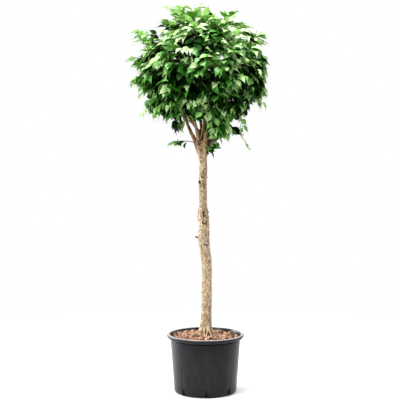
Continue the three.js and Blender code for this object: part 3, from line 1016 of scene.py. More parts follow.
# Ridges of dead bark down the trunk: azimuth, where each begins and ends, how thick it is.
DEAD_RIDGES = ((184, 893, 954, 4), (350, 1112, 1212, 2.6))

# Surface roots at the plant's front: azimuth, how high they leave the trunk, their reach, their radius
# and how far round their end swings.
FRONT_ROOTS = (
    (190, 30, 100, 5.0, 10),
    (222, 34, 58, 4.4, -14),
    (254, 44, 50, 4.8, 6),
    (286, 56, 58, 5.0, -24),
    (290, 56, 66, 5.4, 18),
    (332, 36, 66, 4.6, 12),
)

# The boughs that ring the fork: name, azimuth, how far the knee and the tip stand out from the fork,
# how much lower than the others' they are, and how far round the knee swings.
BOUGHS = (
    ("right", 355, 82, 142, 25, 0),
    ("right_back", 48, 52, 118, 0, 0),
    ("back", 97, 50, 112, 0, 0),
    ("left_back", 140, 52, 112, 0, -24),
    ("left", 186, 62, 102, 0, 0),
    ("front_left", 236, 52, 96, 0, 0),
    ("front_right", 291, 46, 104, 0, 0),
)
BOUGH_STEPS = 40

# The fork's middle, and the leader's tip.
FORK = np.array([-14, 0, 1262]) * MM
LEADER_TIP = np.array([-12, 0, 1645]) * MM

# The crown's furthest leaf tips, in millimetres.
FURTHEST_TIPS = (
    (-158, 15, 2003),
    (-65, -30, 2012),
    (155, -40, 1946),
    (-368, -20, 1835),
    (-411, 30, 1690),
    (-392, -60, 1555),
    (305, 40, 1850),
    (330, -40, 1700),
    (308, -60, 1480),
    (-262, -70, 1372),
    (214, -70, 1262),
    (105, -110, 1320),
    (44, -150, 1285),
    (120, 80, 1290),
)


# The radius of a leafy shoot where it starts and ends, and the share of its radius that a fork keeps.
SHOOT_THICK = 3.4 * MM
SHOOT_THIN = 2 * MM
FORK_KEEPS = 0.88


@dataclass
class Dome:
    """The crown's shape: a superellipsoid that its shoots grow out to.

    Attributes:
        heart: Its middle, in metres.
        spread: Its half width.
        rise: How far it stands over its heart.
        drop: How far it reaches below it.
        fullness: The superellipsoid's power.
        lowest: The cosine of the steepest downward shoot.
        shoots: How many shoots it has, besides the furthest ones.
        wander: How unevenly far they reach.
        core: The share of it that the limbs fork in.
        ring: How far from its heart the masses round it have their middles.
        ring_sink: How far under its heart those middles are.
        leader_rise: How far over its heart the leader's mass has its middle.
        seed: The plant's seed.
        leaf: How far a shoot's last leaf reaches past it.
    """

    heart: np.ndarray = field(default_factory=lambda: np.array([-12, 0, 1655]) * MM)
    spread: float = 294 * MM
    rise: float = 272 * MM
    drop: float = 240 * MM
    fullness: float = 2.5
    lowest: float = -0.82
    shoots: int = 84
    wander: float = 0.09
    core: float = 0.8
    ring: float = 185 * MM
    ring_sink: float = 15 * MM
    leader_rise: float = 150 * MM
    seed: int = 20
    leaf: float = 82 * MM

    def reach(self, up: float) -> float:
        """How far the dome stands from its heart, for the upward part of a direction."""
        out = math.sqrt(max(0.0, 1 - up * up))
        height = self.rise if up > 0 else self.drop
        squeeze = (out / self.spread) ** self.fullness + (abs(up) / height) ** self.fullness
        return squeeze ** (-1 / self.fullness)

    def depth_share(self, place: np.ndarray) -> float:
        """How far out a place is, from 0 at the heart to 1 on the dome."""
        offset = place - self.heart
        distance = float(np.linalg.norm(offset))
        return distance / self.reach(offset[2] / max(distance, 1e-9))

    def shoot_tips(self) -> list[np.ndarray]:
        """The tips of the shoots: even over the dome by the golden angle, then the furthest ones."""
        draw = draws_from(self.seed + 1)
        golden = 360 * (1 - 2 / (1 + math.sqrt(5)))
        tips = []
        for i in range(self.shoots):
            up = 1 - ((1 - self.lowest) * (i + 0.5)) / self.shoots
            azimuth = i * golden + 16 * (draw() - 0.5)
            reach = self.reach(up) * (1 + self.wander * (draw() - 0.6))
            direction = heading(azimuth) * math.sqrt(1 - up * up) + UP * up
            tips.append(self.heart + direction * reach)
        return tips + [self.pulled_in(np.array(tip) * MM) for tip in FURTHEST_TIPS]

    def pulled_in(self, leaf_tip: np.ndarray) -> np.ndarray:
        """Where a shoot ends for its last leaf to hang down to a given place."""
        outward = unit(leaf_tip - self.heart)
        level = math.hypot(outward[0], outward[1])
        rise = 0.5 * level + 0.85 * max(0.0, -outward[2]) - 0.4 * max(0.0, outward[2])
        inward = -0.55 * np.array([outward[0], outward[1], 0])
        return leaf_tip + self.leaf * (inward + rise * UP)


@dataclass
class Twig:
    """One twig: its path, its thickness and whether it bears leaves.

    Attributes:
        start: Where it begins.
        end: Where it ends.
        thick: Its radius at its start.
        thin: Its radius at its end.
        leafy: Whether it is a shoot that bears leaves.
    """

    start: np.ndarray
    end: np.ndarray
    thick: float
    thin: float
    leafy: bool


def halves(tips: list[np.ndarray], middle: np.ndarray) -> tuple[list[np.ndarray], list[np.ndarray]]:
    """Splits tips in two across the direction in which they spread furthest.

    Args:
        tips: The tips to share out.
        middle: Their middle.

    Returns:
        The two halves.
    """
    spread = ((np.array(tips) - middle) ** 2).sum(axis=0)
    axis = int(np.argmax(spread))
    ordered = sorted(tips, key=lambda tip: tip[axis])
    half = math.ceil(len(ordered) / 2)
    return ordered[:half], ordered[half:]


def grow(start: np.ndarray, thick: float, tips: list[np.ndarray], draw: Callable[[], float]) -> list[Twig]:
    """Grows twigs that fork by halves until every branch ends in one leafy shoot.

    Args:
        start: Where the first twig begins.
        thick: Its radius.
        tips: The tips that the shoots grow out to.
        draw: The stream of numbers that unevens the forks.

    Returns:
        The twigs.
    """
    if len(tips) == 1:
        return [Twig(start, tips[0], SHOOT_THICK, SHOOT_THIN, True)]
    middle = np.mean(tips, axis=0)
    fork = start + (middle - start) * 0.1 * (0.85 + 0.3 * draw())
    thin = max(SHOOT_THICK, thick * FORK_KEEPS)
    twigs = [Twig(start, fork, thick, thin, False)]
    for half in halves(tips, middle):
        twigs += grow(fork, thin, half, draw)
    return twigs


@dataclass
class FoliageMass:
    """One mass of the crown: the bough that bears it, where its twigs begin and its shoots.

    Attributes:
        name: Its name, without the word foliage.
        bough_tip: Where its bough ends.
        hub: Where its twigs fork from.
        tips: The tips of its shoots.
        seed: Its own seed.
    """

    name: str
    bough_tip: np.ndarray
    hub: np.ndarray
    tips: list[np.ndarray]
    seed: int

    def twigs(self) -> list[Twig]:
        """The mass's twigs, by the plant's rule."""
        return grow(self.hub, 5 * MM, self.tips, draws_from(self.seed))


def from_fork(azimuth: float, out: float, height: float) -> np.ndarray:
    """The place so far out from over the fork, at a height, both in millimetres."""
    return np.array([FORK[0], FORK[1], height * MM]) + heading(azimuth) * out * MM


def bough_points(azimuth: float, knee: float, tip: float, sag: float, swing: float) -> np.ndarray:
    """The points that a bough passes through, from inside the trunk's head to its tip.

    Args:
        azimuth: The way it leans, in degrees.
        knee: How far its knee stands out from the fork, in millimetres.
        tip: How far its tip stands out.
        sag: How much lower than the other boughs' its knee and tip are.
        swing: How far round its knee swings, in degrees.

    Returns:
        One row for each point, in metres.
    """
    return np.array(
        [
            from_fork(azimuth, 8, 1222),
            from_fork(azimuth + 0.5 * swing, 35, 1290),
            from_fork(azimuth + swing, knee, 1345 - sag),
            from_fork(azimuth, tip, 1452 - sag),
        ]
    )


def bough_line(points: Points, mass: FoliageMass) -> Points:
    """A bough's middle line through its points, and on to where the twigs of its mass fork."""
    return smooth_path(np.vstack([points, mass.hub]), BOUGH_STEPS)


def plan_masses(dome: Dome) -> list[FoliageMass]:
    """Shares the crown out among its boughs: every shoot goes to the nearest mass.

    Args:
        dome: The crown's shape.

    Returns:
        The masses, in the order of the solids'.
    """
    named = []
    for name, azimuth, *shape in BOUGHS:
        middle = dome.heart + heading(azimuth) * dome.ring - UP * dome.ring_sink
        named.append((name, middle, bough_points(azimuth, *shape)[-1]))
    named.append(("leader", dome.heart + UP * dome.leader_rise, LEADER_TIP))
    middles = np.array([middle for _, middle, _ in named])
    shares: list[list[np.ndarray]] = [[] for _ in named]
    for tip in dome.shoot_tips():
        shares[int(np.argmin(np.linalg.norm(middles - tip, axis=1)))].append(tip)
    masses = []
    for i, (name, middle, bough_tip) in enumerate(named):
        inner = dome.heart + (middle - dome.heart) * dome.core
        hub = bough_tip + (inner - bough_tip) * 0.62
        masses.append(FoliageMass(name, bough_tip, hub, shares[i], dome.seed + 10 + i))
    return masses


# --- Trunk and boughs ---


@dataclass
class Framework:
    """The trunk, its knots and stubs, the surface roots and the boughs, grown together as one skin.

    Attributes:
        masses: The crown's masses, whose stems the boughs grow on into.
        voxel: The size of the skin's faces, in metres.
        ground: The height where the trunk leaves the chips.
        back_roots: How many surface roots it has round its back.
        waist: How far the trunk is drawn in where it stands on its roots, as a share of its radius.
        snag_sink: How deep in the trunk a stub is rooted.
        head_level: The height where the bark turns to the darker bark of the trunk's head, which is painted
            shade.
        bough_level: The height where it turns to the still darker bark of the boughs, also painted shade.
        blend: How far the bark's edges wander up and down.
        seed: Deals out the roots.
    """

    masses: list[FoliageMass]
    voxel: float = 2.3 * MM
    ground: float = field(default_factory=lambda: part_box("bark_chip_fill")[1].z - 4 * MM)
    back_roots: int = 6
    waist: float = 0.3
    snag_sink: float = 10 * MM
    head_level: float = 1218 * MM
    bough_level: float = 1274 * MM
    blend: float = 64 * MM
    seed: int = 31

    # The bark's swellings, furrows and grain: how high each stands, its waves' size along X, Y and Z in
    # millimetres, and its seed.
    RELIEF = ((1.0, (26, 26, 60), 1.3), (0.55, (7, 7, 34), 5.1), (0.35, (6, 6, 7), 9.4))

    # What a root at the back is drawn between: its rise, reach, radius and swing, as in FRONT_ROOTS.
    BACK_ROOT = ((28, 50), (54, 80), (3.2, 5), (-18, 18))

    # A bough's radius in millimetres at shares of its length.
    BOUGH_RADII = ((0, 17), (0.25, 13), (0.6, 8), (1, 4.8))

    # How thick a ridge of dead bark is at each step of its length, as a share.
    RIDGE_STEPS = (0.3, 0.8, 1, 0.85, 1.05, 0.9, 0.8, 0.65, 0.3)

    def middle_at(self, height: float) -> np.ndarray:
        """The trunk's middle at a height, in metres."""
        stations = np.array(TRUNK_STATIONS) * MM
        at = [float(np.interp(height, stations[:, 0], stations[:, i])) for i in (1, 2)]
        return np.array([*at, height])

    def radius_at(self, height: float) -> float:
        """The trunk's radius at a height, in metres."""
        stations = np.array(TRUNK_STATIONS) * MM
        return float(np.interp(height, stations[:, 0], stations[:, 3]))

    def beside_trunk(self, height: float, azimuth: float, off: float = 0.0) -> np.ndarray:
        """A place on the trunk's side, or so far off it."""
        return self.middle_at(height) + heading(azimuth) * (self.radius_at(height) + off)

    def snag_line(self, height: float, azimuth: float) -> tuple[np.ndarray, np.ndarray]:
        """Where a stub is rooted in the trunk, and the way it points."""
        return self.beside_trunk(height, azimuth, -self.snag_sink), unit(heading(azimuth) + 0.45 * UP)

    def stem(self) -> bpy.types.Object:
        """The trunk itself, drawn in at its foot, where it stands on its roots, and up to its fork."""
        heights = np.linspace(self.ground - 6 * MM, TRUNK_STATIONS[-1][0] * MM, 70)
        path = np.array([self.middle_at(h) for h in heights])
        path[1:-1] = (path[:-2] + path[1:-1] + path[2:]) / 3
        flare = smoothstep(self.ground + 8 * MM, self.ground + 42 * MM, heights)
        drawn_in = 1 - self.waist * (1 - flare)
        return limb_tube(path, [self.radius_at(h) * share for h, share in zip(heights, drawn_in)])

    def snag(self, height: float, azimuth: float, length: float, radius: float) -> bpy.types.Object:
        """A stub on the trunk.

        Args:
            height: Where it leaves the trunk, in metres.
            azimuth: The way it points, in degrees.
            length: How far it stands out.
            radius: Its radius at its root.

        Returns:
            The stub's own mesh.
        """
        root, along = self.snag_line(height, azimuth)
        path = root + along * (self.snag_sink + length) * np.linspace(0, 1, 4)[:, None]
        return limb_tube(path, [radius * 1.3, radius * 1.1, radius, radius * 0.75])

    def surface_root(
        self, azimuth: float, rise: float, reach: float, thick: float, swing: float
    ) -> bpy.types.Object:
        """A pale root that leaves the trunk's foot and dives into the chips.

        Args:
            azimuth: The way it runs, in degrees.
            rise: How high over the chips it leaves the trunk.
            reach: How far from the trunk's middle it ends.
            thick: Its radius where it leaves.
            swing: How far round its end swings, in degrees.

        Returns:
            The root's own mesh.
        """
        foot = self.middle_at(self.ground)
        shoulder = self.radius_at(self.ground + rise) - 2 * MM
        points = np.array(
            [
                foot + heading(azimuth) * (shoulder - 6 * MM) + UP * (rise + 16 * MM),
                foot + heading(azimuth) * shoulder + UP * rise,
                foot + heading(azimuth + 0.4 * swing) * (0.45 * reach + 0.55 * shoulder) + UP * 0.4 * rise,
                foot + heading(azimuth + swing) * reach - UP * 3 * MM,
            ]
        )
        return limb_tube(smooth_path(points, 16), np.linspace(thick, 2.2 * MM, 16))

    def dead_ridge(self, azimuth: float, low: float, high: float, thick: float) -> bpy.types.Object:
        """A ridge of dead bark down the trunk's side.

        Args:
            azimuth: The side it is on, in degrees.
            low: Where it begins, in metres.
            high: Where it ends.
            thick: How thick it is.

        Returns:
            The ridge's own mesh.
        """
        heights = np.linspace(low, high, len(self.RIDGE_STEPS))
        path = np.array([self.beside_trunk(h, azimuth, -0.5 * MM) for h in heights])
        return limb_tube(path, np.array(self.RIDGE_STEPS) * thick)

    def bough(self, points: np.ndarray, mass: FoliageMass) -> bpy.types.Object:
        """A bough, with the stem of its mass as its far end.

        Args:
            points: The points it passes through.
            mass: The mass it bears.

        Returns:
            The bough's own mesh.
        """
        radii = np.interp(np.linspace(0, 1, BOUGH_STEPS), *zip(*self.BOUGH_RADII)) * MM
        return limb_tube(bough_line(points, mass), radii)

    def limbs(self) -> list[bpy.types.Object]:
        """All the limbs that the skin grows over."""
        draws = np.random.default_rng(self.seed)
        made = [self.stem()]
        for height, azimuth, length, radius in TRUNK_SNAGS:
            made.append(self.snag(height * MM, azimuth, length * MM, radius * MM))
        apart = 180 / self.back_roots
        around = [
            (2 + (i + 0.6 * draws.random()) * apart, *(draws.uniform(*span) for span in self.BACK_ROOT))
            for i in range(self.back_roots)
        ]
        for azimuth, rise, reach, thick, swing in (*FRONT_ROOTS, *around):
            made.append(self.surface_root(azimuth, rise * MM, reach * MM, thick * MM, swing))
        for azimuth, *sizes in DEAD_RIDGES:
            made.append(self.dead_ridge(azimuth, *(size * MM for size in sizes)))
        for (_, *shape), mass in zip(BOUGHS, self.masses):
            made.append(self.bough(bough_points(*shape), mass))
        leader = np.array([FORK - 40 * MM * UP, FORK + 28 * MM * UP, (FORK + LEADER_TIP) / 2, LEADER_TIP])
        leader[2, 0] += 12 * MM
        made.append(self.bough(leader, self.masses[-1]))
        return made

    def knot_places(self) -> list[tuple[np.ndarray, float, float, float]]:
        """The middle of each knot on the trunk's surface, with its radius, pit and rise."""
        return [
            (self.beside_trunk(height * MM, azimuth), radius * MM, pit * MM, rise * MM)
            for height, azimuth, radius, pit, rise in TRUNK_KNOTS
        ]

    def relief(self, skin: bpy.types.Object) -> None:
        """Presses the bark's lumps, furrows, leaf scars and knots into the skin."""
        scar_pitch, scar_share, scar_rise, scar_waver = 37 * MM, 0.14, 0.45 * MM, 6 * MM
        pit_width, ring_at, ring_width = 0.62, 1.05, 0.38
        places = rows_of(skin.data.vertices, "co")
        normals = rows_of(skin.data.vertices, "normal")
        rise = np.zeros(len(places))
        for height, pitch, seed in self.RELIEF:
            rise += height * MM * noise_field(places, np.array(pitch) * MM, seed)
        wavering = places[:, 2] + scar_waver * noise_field(places, (30 * MM, 30 * MM, 30 * MM), 2.2)
        scars = np.cos(wavering * TURN / scar_pitch)
        rise += scar_rise * np.maximum(0, scars - (1 - scar_share)) / scar_share
        for middle, radius, pit, lift in self.knot_places():
            distance = np.linalg.norm(places - middle, axis=1) / radius
            rise -= pit * np.exp(-((distance / pit_width) ** 2))
            rise += lift * np.exp(-(((distance - ring_at) / ring_width) ** 2))
        # The relief is shallower on the thin boughs and on the roots.
        on_bough = smoothstep(1330 * MM, 1420 * MM, places[:, 2])
        near_ground = 1 - smoothstep(self.ground + 4 * MM, self.ground + 34 * MM, places[:, 2])
        outside = np.linalg.norm(places[:, :2] - self.middle_at(self.ground)[:2], axis=1) > 42 * MM
        rise *= (1 - 0.6 * on_bough) * (1 - 0.7 * near_ground * outside)
        move_vertices(skin, places + normals * rise[:, None])

    def dead_wood(self, centers: Points) -> np.ndarray:
        """Which places are in a knot, on a cut end or on the ridge of dead bark.

        Args:
            centers: The places to test.

        Returns:
            A truth value for each.
        """
        ragged = noise_field(centers, (15 * MM, 15 * MM, 11 * MM), 4.4)
        dead = np.zeros(len(centers), bool)
        for middle, radius, _, _ in self.knot_places():
            distance = np.linalg.norm(centers - middle, axis=1) / radius
            below = np.clip((middle[2] - centers[:, 2]) / radius, -1, 1)
            if radius > 12 * MM:  # A large knot is darker only in the ring round it, and most below its middle.
                dead |= (np.abs(distance - 0.82) < 0.26) & (ragged + 0.7 * below > -0.04)
            else:
                dead |= distance + 0.6 * ragged < 0.72
        sink = self.snag_sink / MM
        for height, azimuth, length, radius in TRUNK_SNAGS:
            root, along = self.snag_line(height * MM, azimuth)
            reaches = [(reach, 1.6) for reach in np.arange(length, min(length, 5), -4)]
            for reach, girth in (*reaches, (length, 1.5)):
                middle = root + along * (sink + reach) * MM
                dead |= np.linalg.norm(centers - middle, axis=1) < girth * radius * MM
        for azimuth, *sizes in DEAD_RIDGES:
            low, high, thick = (size * MM for size in sizes)
            middle = (low + high) / 2
            beside = self.beside_trunk(middle, azimuth, thick / 2)
            level = np.linalg.norm(centers[:, :2] - beside[:2], axis=1)
            within = np.abs(centers[:, 2] - middle) < (high - low) / 2
            dead |= within & (level + 0.7 * thick * ragged < 1.5 * thick)
        return dead

    def dress(self, skin: bpy.types.Object) -> None:
        """Gives the bark, the dead wood and the surface roots their finishes."""
        centers = rows_of(skin.data.polygons, "center")
        ragged = noise_field(centers, (9 * MM, 9 * MM, 26 * MM), 8.8)
        level = centers[:, 2] + self.blend * ragged
        # Higher up, the bark is darker in two steps: painted shade under the crown.
        chosen = np.where(level > self.bough_level, 3, np.where(level > self.head_level, 4, 0))
        chosen[self.dead_wood(centers)] = 1
        away = np.linalg.norm(centers[:, :2] - self.middle_at(self.ground)[:2], axis=1)
        height = centers[:, 2] - self.ground
        on_root = (away > 28 * MM + 0.12 * height) & (height < 58 * MM)
        chosen[on_root] = 2
        wear(skin, (TRUNK_BARK, SCAR_WOOD, ROOT_SKIN, BOUGH_BARK, HEAD_BARK), chosen)

    def build(self) -> None:
        """Models the framework: its limbs, one skin over them all, and the bark's relief on it."""
        skin = join(self.limbs(), "trunk_and_boughs")
        apply_modifier(skin, "REMESH", mode="VOXEL", voxel_size=self.voxel)
        apply_modifier(skin, "SMOOTH", factor=0.5, iterations=6)
        self.relief(skin)
        self.dress(skin)
        shade_smooth(skin, 70)
        ride_as(skin, ["trunk", "bough_leader", *(f"bough_{name}" for name, *_ in BOUGHS)])


# --- Twigs and leaves ---


@dataclass
class LeafShape:
    """A fig leaf: an egg-shaped blade on a short stalk, folded along its rib, with a long drip tip.

    Attributes:
        length: The blade's length, in metres.
        stalk: The stalk's length.
        stalk_radius: How thick it is.
        arch: How far the blade bends down, as a share of its length.
        fold: How steeply its halves rise from the rib.
        wave: How far its margins wave.
        sweep: How far its tip turns aside.
        thickness: The blade's thickness at the rib.
    """

    length: float = 66 * MM
    stalk: float = 10 * MM
    stalk_radius: float = 0.8 * MM
    arch: float = 0.16
    fold: float = 0.2
    wave: float = 0.02
    sweep: float = 0.0
    thickness: float = 0.6 * MM

    # The blade's outline: the share of its length, and its half width as a share of its length.
    OUTLINE = (
        (0.0, 0.012),
        (0.07, 0.18),
        (0.22, 0.295),
        (0.42, 0.305),
        (0.62, 0.2),
        (0.79, 0.045),
        (1.0, 0.005),
    )

    def arrays(self) -> tuple[Points, Faces, list[bool]]:
        """The leaf as a closed mesh along +X, its upper side towards +Z.

        Returns:
            Its vertices, its faces, and for each face whether it is on the upper side.
        """
        across = (-1.0, -0.5, 0.0, 0.5, 1.0)
        upper, lower = [], []
        for i, (share, half) in enumerate(self.OUTLINE):
            x = self.stalk + share * self.length
            bend = -self.arch * self.length * share**2.2
            drift = self.sweep * self.length * share**2
            for j, side in enumerate(across):
                ripple = self.wave * math.sin(2.1 * i + (1.3 if side > 0 else 0)) * abs(side)
                z = bend + (self.fold * abs(side) * half + ripple * (half > 0.02)) * self.length
                upper.append((x, drift + side * half * self.length, z))
            lower.append((x, drift, bend - self.thickness))
        vertices = upper + lower
        width, under = len(across), len(upper)
        faces: Faces = []
        above: list[bool] = []
        for i in range(len(self.OUTLINE) - 1):
            a, b = i * width, (i + 1) * width
            for j in range(width - 1):
                faces.append((a + j, b + j, b + j + 1, a + j + 1))
                above.append(True)
            faces.append((a, under + i, under + i + 1, b))
            faces.append((under + i, a + width - 1, b + width - 1, under + i + 1))
            above += [False, False]
        last = (len(self.OUTLINE) - 1) * width
        faces.append((*(last + j for j in range(width)), under + len(self.OUTLINE) - 1))
        above.append(False)
        base = len(vertices)
        half = self.stalk_radius
        vertices += [(0, -half, -half), (0, half, -half), (0, 0, half)]
        vertices += [(self.stalk + 2 * MM, y, z) for y, z in ((-half, -half), (half, -half), (0, half / 2))]
        for j in range(3):
            k = (j + 1) % 3
            faces.append((base + j, base + 3 + j, base + 3 + k, base + k))
            above.append(False)
        faces += [(base + 2, base + 1, base), (base + 3, base + 4, base + 5)]
        above += [False, False]
        return np.array(vertices), faces, above


@dataclass
class Growth:
    """What grows on one mass or sprig: its leaves and its twigs, with the luck that deals them out.

    Attributes:
        draws: Where all unevenness comes from.
        blades: The vertices, the faces and the sides of each shape of leaf.
        leaves: The leaves so far.
        wood: The twigs so far.
        leaf_count: How many leaves there are.
        twig_sides: How many sides a twig has.
    """

    draws: np.random.Generator
    blades: Sequence[tuple[Points, Faces, list[bool]]]
    leaves: MeshBatch = field(default_factory=MeshBatch)
    wood: MeshBatch = field(default_factory=MeshBatch)
    leaf_count: int = 0
    twig_sides: int = 5

    def add_leaf(
        self, node: np.ndarray, along: np.ndarray, face: np.ndarray, size: float, shade: int
    ) -> None:
        """Adds a leaf, of any of the shapes.

        Args:
            node: Where it leaves its twig.
            along: The way it points.
            face: The way its upper side faces.
            size: How large it is, as a share.
            shade: The number of its shade.
        """
        places, faces, above = self.blades[int(self.draws.integers(len(self.blades)))]
        turn = np.array([along, np.cross(face, along), face])
        finishes = [2 * shade + (not upper) for upper in above]
        self.leaves.add(places @ turn * size + node, faces, finishes)
        self.leaf_count += 1

    def add_twig(self, path: Points, radii: Sequence[float], green: bool = False) -> None:
        """Adds a twig: a tapered tube with closed ends.

        Args:
            path: Its middle line, one row for each step.
            radii: Its radius at each step.
            green: Whether its bark is young and green.
        """
        sides, last = self.twig_sides, (len(path) - 1) * self.twig_sides
        angles = np.arange(sides)[:, None] * TURN / sides
        rings = []
        for middle, tangent, radius in zip(path, np.gradient(path, axis=0), radii):
            along = unit(tangent)
            side = unit(np.cross(along, [0.31, 0.17, 0.93]))
            rings.append(middle + radius * (np.cos(angles) * side + np.sin(angles) * np.cross(along, side)))
        faces = [
            (a + j, a + (j + 1) % sides, a + sides + (j + 1) % sides, a + sides + j)
            for a in range(0, last, sides)
            for j in range(sides)
        ]
        faces += [tuple(reversed(range(sides))), tuple(range(last, last + sides))]
        self.wood.add(np.vstack(rings), faces, [int(green)] * len(faces))

    def finish(self, name: str, node: str) -> None:
        """Joins the leaves and the twigs, each into one piece, and hangs them on the plant.

        Args:
            name: The name they share.
            node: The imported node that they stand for.
        """
        log.info("%s: %d leaves", name, self.leaf_count)
        ride_as(self.leaves.build(f"leaves_{name}", LEAF_FINISHES, 50), [node])
        ride_as(self.wood.build(f"twigs_{name}", (SHADED_TWIG_BARK, SHOOT_BARK), 60), [node])


@dataclass(frozen=True)
class LeafHabit:
    """How leaves stand on their twig. A way that a leaf takes is a sum of weighted directions.

    Attributes:
        spacing: How far apart they stand, in metres.
        forward: The weight of the twig's own direction.
        outward: The weight of the way out of the crown.
        aside: The least and the most weight of the way aside, which they turn to by turns.
        last_aside: The spread of that weight for the last leaf, which runs on from the twig.
        droop: The least and the most weight of the way down.
        scatter: The spread of a random direction's weight.
        skyward: How strongly their upper sides face the sky, at least and at most.
        roll: The spread of their roll.
        sizes: The least and the greatest size, as a share.
        last_size: The last leaf's size, as a share of the others'.
        middle: How far from its twig a leaf's middle is, in metres.
        tip: How far from its twig its tip is.
    """

    spacing: float = 14.5 * MM
    forward: float = 0.5
    outward: float = 0.6
    aside: tuple[float, float] = (0.35, 1.25)
    last_aside: float = 0.25
    droop: tuple[float, float] = (0.25, 0.85)
    scatter: float = 0.12
    skyward: tuple[float, float] = (0.4, 1.3)
    roll: float = 0.5
    sizes: tuple[float, float] = (0.82, 1.15)
    last_size: float = 0.8
    middle: float = 45 * MM
    tip: float = 80 * MM


def along_line(path: Points, lengths: np.ndarray, distance: float) -> np.ndarray:
    """The place so far along a line.

    Args:
        path: The line, one row for each step.
        lengths: How far along it each step is.
        distance: How far along it the place is.

    Returns:
        The place.
    """
    return np.array([np.interp(distance, lengths, path[:, axis]) for axis in range(3)])


def weeping_path(start: np.ndarray, end: np.ndarray, count: int) -> Points:
    """A shoot's line in so many steps: it leaves rising and comes down over its far end."""
    crest = start + (end - start) * 0.55 + UP * 0.13 * float(np.linalg.norm(end - start))
    t = np.linspace(0, 1, count)[:, None]
    return (1 - t) ** 2 * start + 2 * t * (1 - t) * crest + t**2 * end


@dataclass
class Crown:
    """The crown: every shoot of the plant's rule, carried on to side twigs and real leaves.

    Attributes:
        dome: The crown's shape.
        masses: Its masses.
        side_twigs: How many side twigs a shoot bears.
        side_lengths: How long a side twig is, at least and at most, in millimetres.
        least_side: How short it may be cut to keep it in the dome.
        tries: How often a side twig is tried before it is left out.
        habit: How leaves stand on their twig.
        leaf_room: How far a leaf's middle stays off the limbs.
        foot_room: How far its foot does, which may touch one.
        top: How high the highest leaf may reach.
        lowest_stray: A stray shoot that ends under this height has small, dark leaves.
        stray_room: How far from a stray shoot's tip its leaves may stand.
        ages: Where one shade ends and the next begins, on the scale of how light a spray is painted.
        seed: Deals out the side twigs and the leaves.
        shapes: The shapes of leaf.
        furthest: The tips of the furthest shoots, which may stray out of the outline.
        blades: The shapes of leaf as arrays.
        bead_middles: The middles of the spheres that stand for the limbs.
        bead_radii: Their radii.
    """

    dome: Dome
    masses: list[FoliageMass]
    side_twigs: int = 12
    side_lengths: tuple[float, float] = (70, 135)
    least_side: float = 38 * MM
    tries: int = 4
    habit: LeafHabit = LeafHabit()
    leaf_room: float = 3 * MM
    foot_room: float = -2 * MM
    top: float = 2014 * MM
    lowest_stray: float = 1400 * MM
    stray_room: float = 100 * MM
    ages: tuple[float, ...] = (0.43, 0.575, 0.69, 0.87)
    seed: int = 400
    shapes: tuple[LeafShape, ...] = (
        LeafShape(),
        LeafShape(arch=0.3, fold=0.3, sweep=0.06),
        LeafShape(arch=0.06, fold=0.12, wave=0.035, sweep=-0.05),
        LeafShape(arch=0.22, fold=0.42, wave=0.03),
        LeafShape(length=59 * MM, arch=0.4, fold=0.26, sweep=-0.08),
    )
    furthest: list[np.ndarray] = field(init=False)
    blades: list[tuple[Points, Faces, list[bool]]] = field(init=False)
    bead_middles: Points = field(init=False)
    bead_radii: np.ndarray = field(init=False)

    # How far from the crown's own middle line its leaves may stand at each height, in millimetres.
    GIRTH = (
        (1235, 40),
        (1290, 85),
        (1341, 122),
        (1375, 155),
        (1400, 218),
        (1445, 250),
        (1490, 285),
        (1527, 312),
        (1570, 345),
        (1800, 400),
    )

    # Sprays that hang out of the crown: the mass, where each starts and ends, its darkest shade, the share
    # of its twig that is bare and the size of its leaves.
    HANGING = (
        ("front_right", (16, -62, 1435), (20, -92, 1372), 0, 0.1, 0.92),
        ("front_right", (48, -72, 1440), (60, -104, 1362), 0, 0.1, 0.92),
        ("front_right", (70, -60, 1420), (92, -92, 1356), 1, 0.1, 0.92),
        ("front_right", (30, -40, 1410), (40, -84, 1360), 0, 0.1, 0.92),
        ("right", (100, -16, 1400), (120, -62, 1352), 1, 0.1, 0.92),
        ("right", (66, -14, 1372), (76, -52, 1346), 0, 0.1, 0.92),
        ("right", (236, -40, 1530), (300, -60, 1480), 3, 0.1, 0.7),
        ("right", (150, -50, 1356), (216, -66, 1270), 2, 0.35, 0.55),
        ("right_back", (180, 20, 1852), (322, 10, 1796), 2, 0.65, 0.45),
        ("left", (-128, -24, 1430), (-144, -54, 1388), 0, 0.1, 0.8),
        ("left", (-240, -40, 1530), (-300, -52, 1462), 2, 0.1, 0.92),
        ("left", (-290, -50, 1570), (-338, -60, 1520), 2, 0.1, 0.75),
        ("left", (-310, -30, 1640), (-368, -40, 1590), 3, 0.1, 0.75),
        ("left", (-270, -40, 1842), (-340, -50, 1800), 3, 0.2, 0.8),
        ("front_left", (-220, -90, 1520), (-290, -110, 1490), 2, 0.1, 0.92),
        ("front_left", (-240, -90, 1500), (-316, -100, 1436), 3, 0.2, 0.7),
        ("leader", (-110, -30, 1915), (-182, -36, 1962), 3, 0.2, 0.9),
        ("leader", (-80, -20, 1920), (-118, -30, 1960), 2, 0.2, 0.9),
        ("leader", (-40, -30, 1935), (-18, -36, 2004), 2, 0.6, 0.6),
        ("leader", (96, -36, 1905), (152, -44, 1948), 2, 0.3, 0.8),
    )

    # Hollows between the sprays, which show the crown's dark inside: the middle and the radius.
    HOLLOWS = (
        (14, -275, 1645, 46),
        (20, -275, 1578, 50),
        (-136, -245, 1660, 42),
        (-48, -270, 1552, 44),
        (45, -235, 1450, 42),
        (-195, -220, 1735, 36),
        (104, -255, 1702, 38),
        (-220, -190, 1590, 36),
        (150, -215, 1560, 36),
        (280, 60, 1600, 45),
        (180, 230, 1690, 50),
        (-60, 285, 1610, 55),
        (-240, 180, 1650, 48),
        (60, 250, 1480, 45),
    )

    # Gaps where the sky shows from front to back: sideways place, height and radius.
    SKY_GAPS = ((50, 1413, 20), (136, 1486, 19), (-154, 1452, 16), (238, 1598, 15))

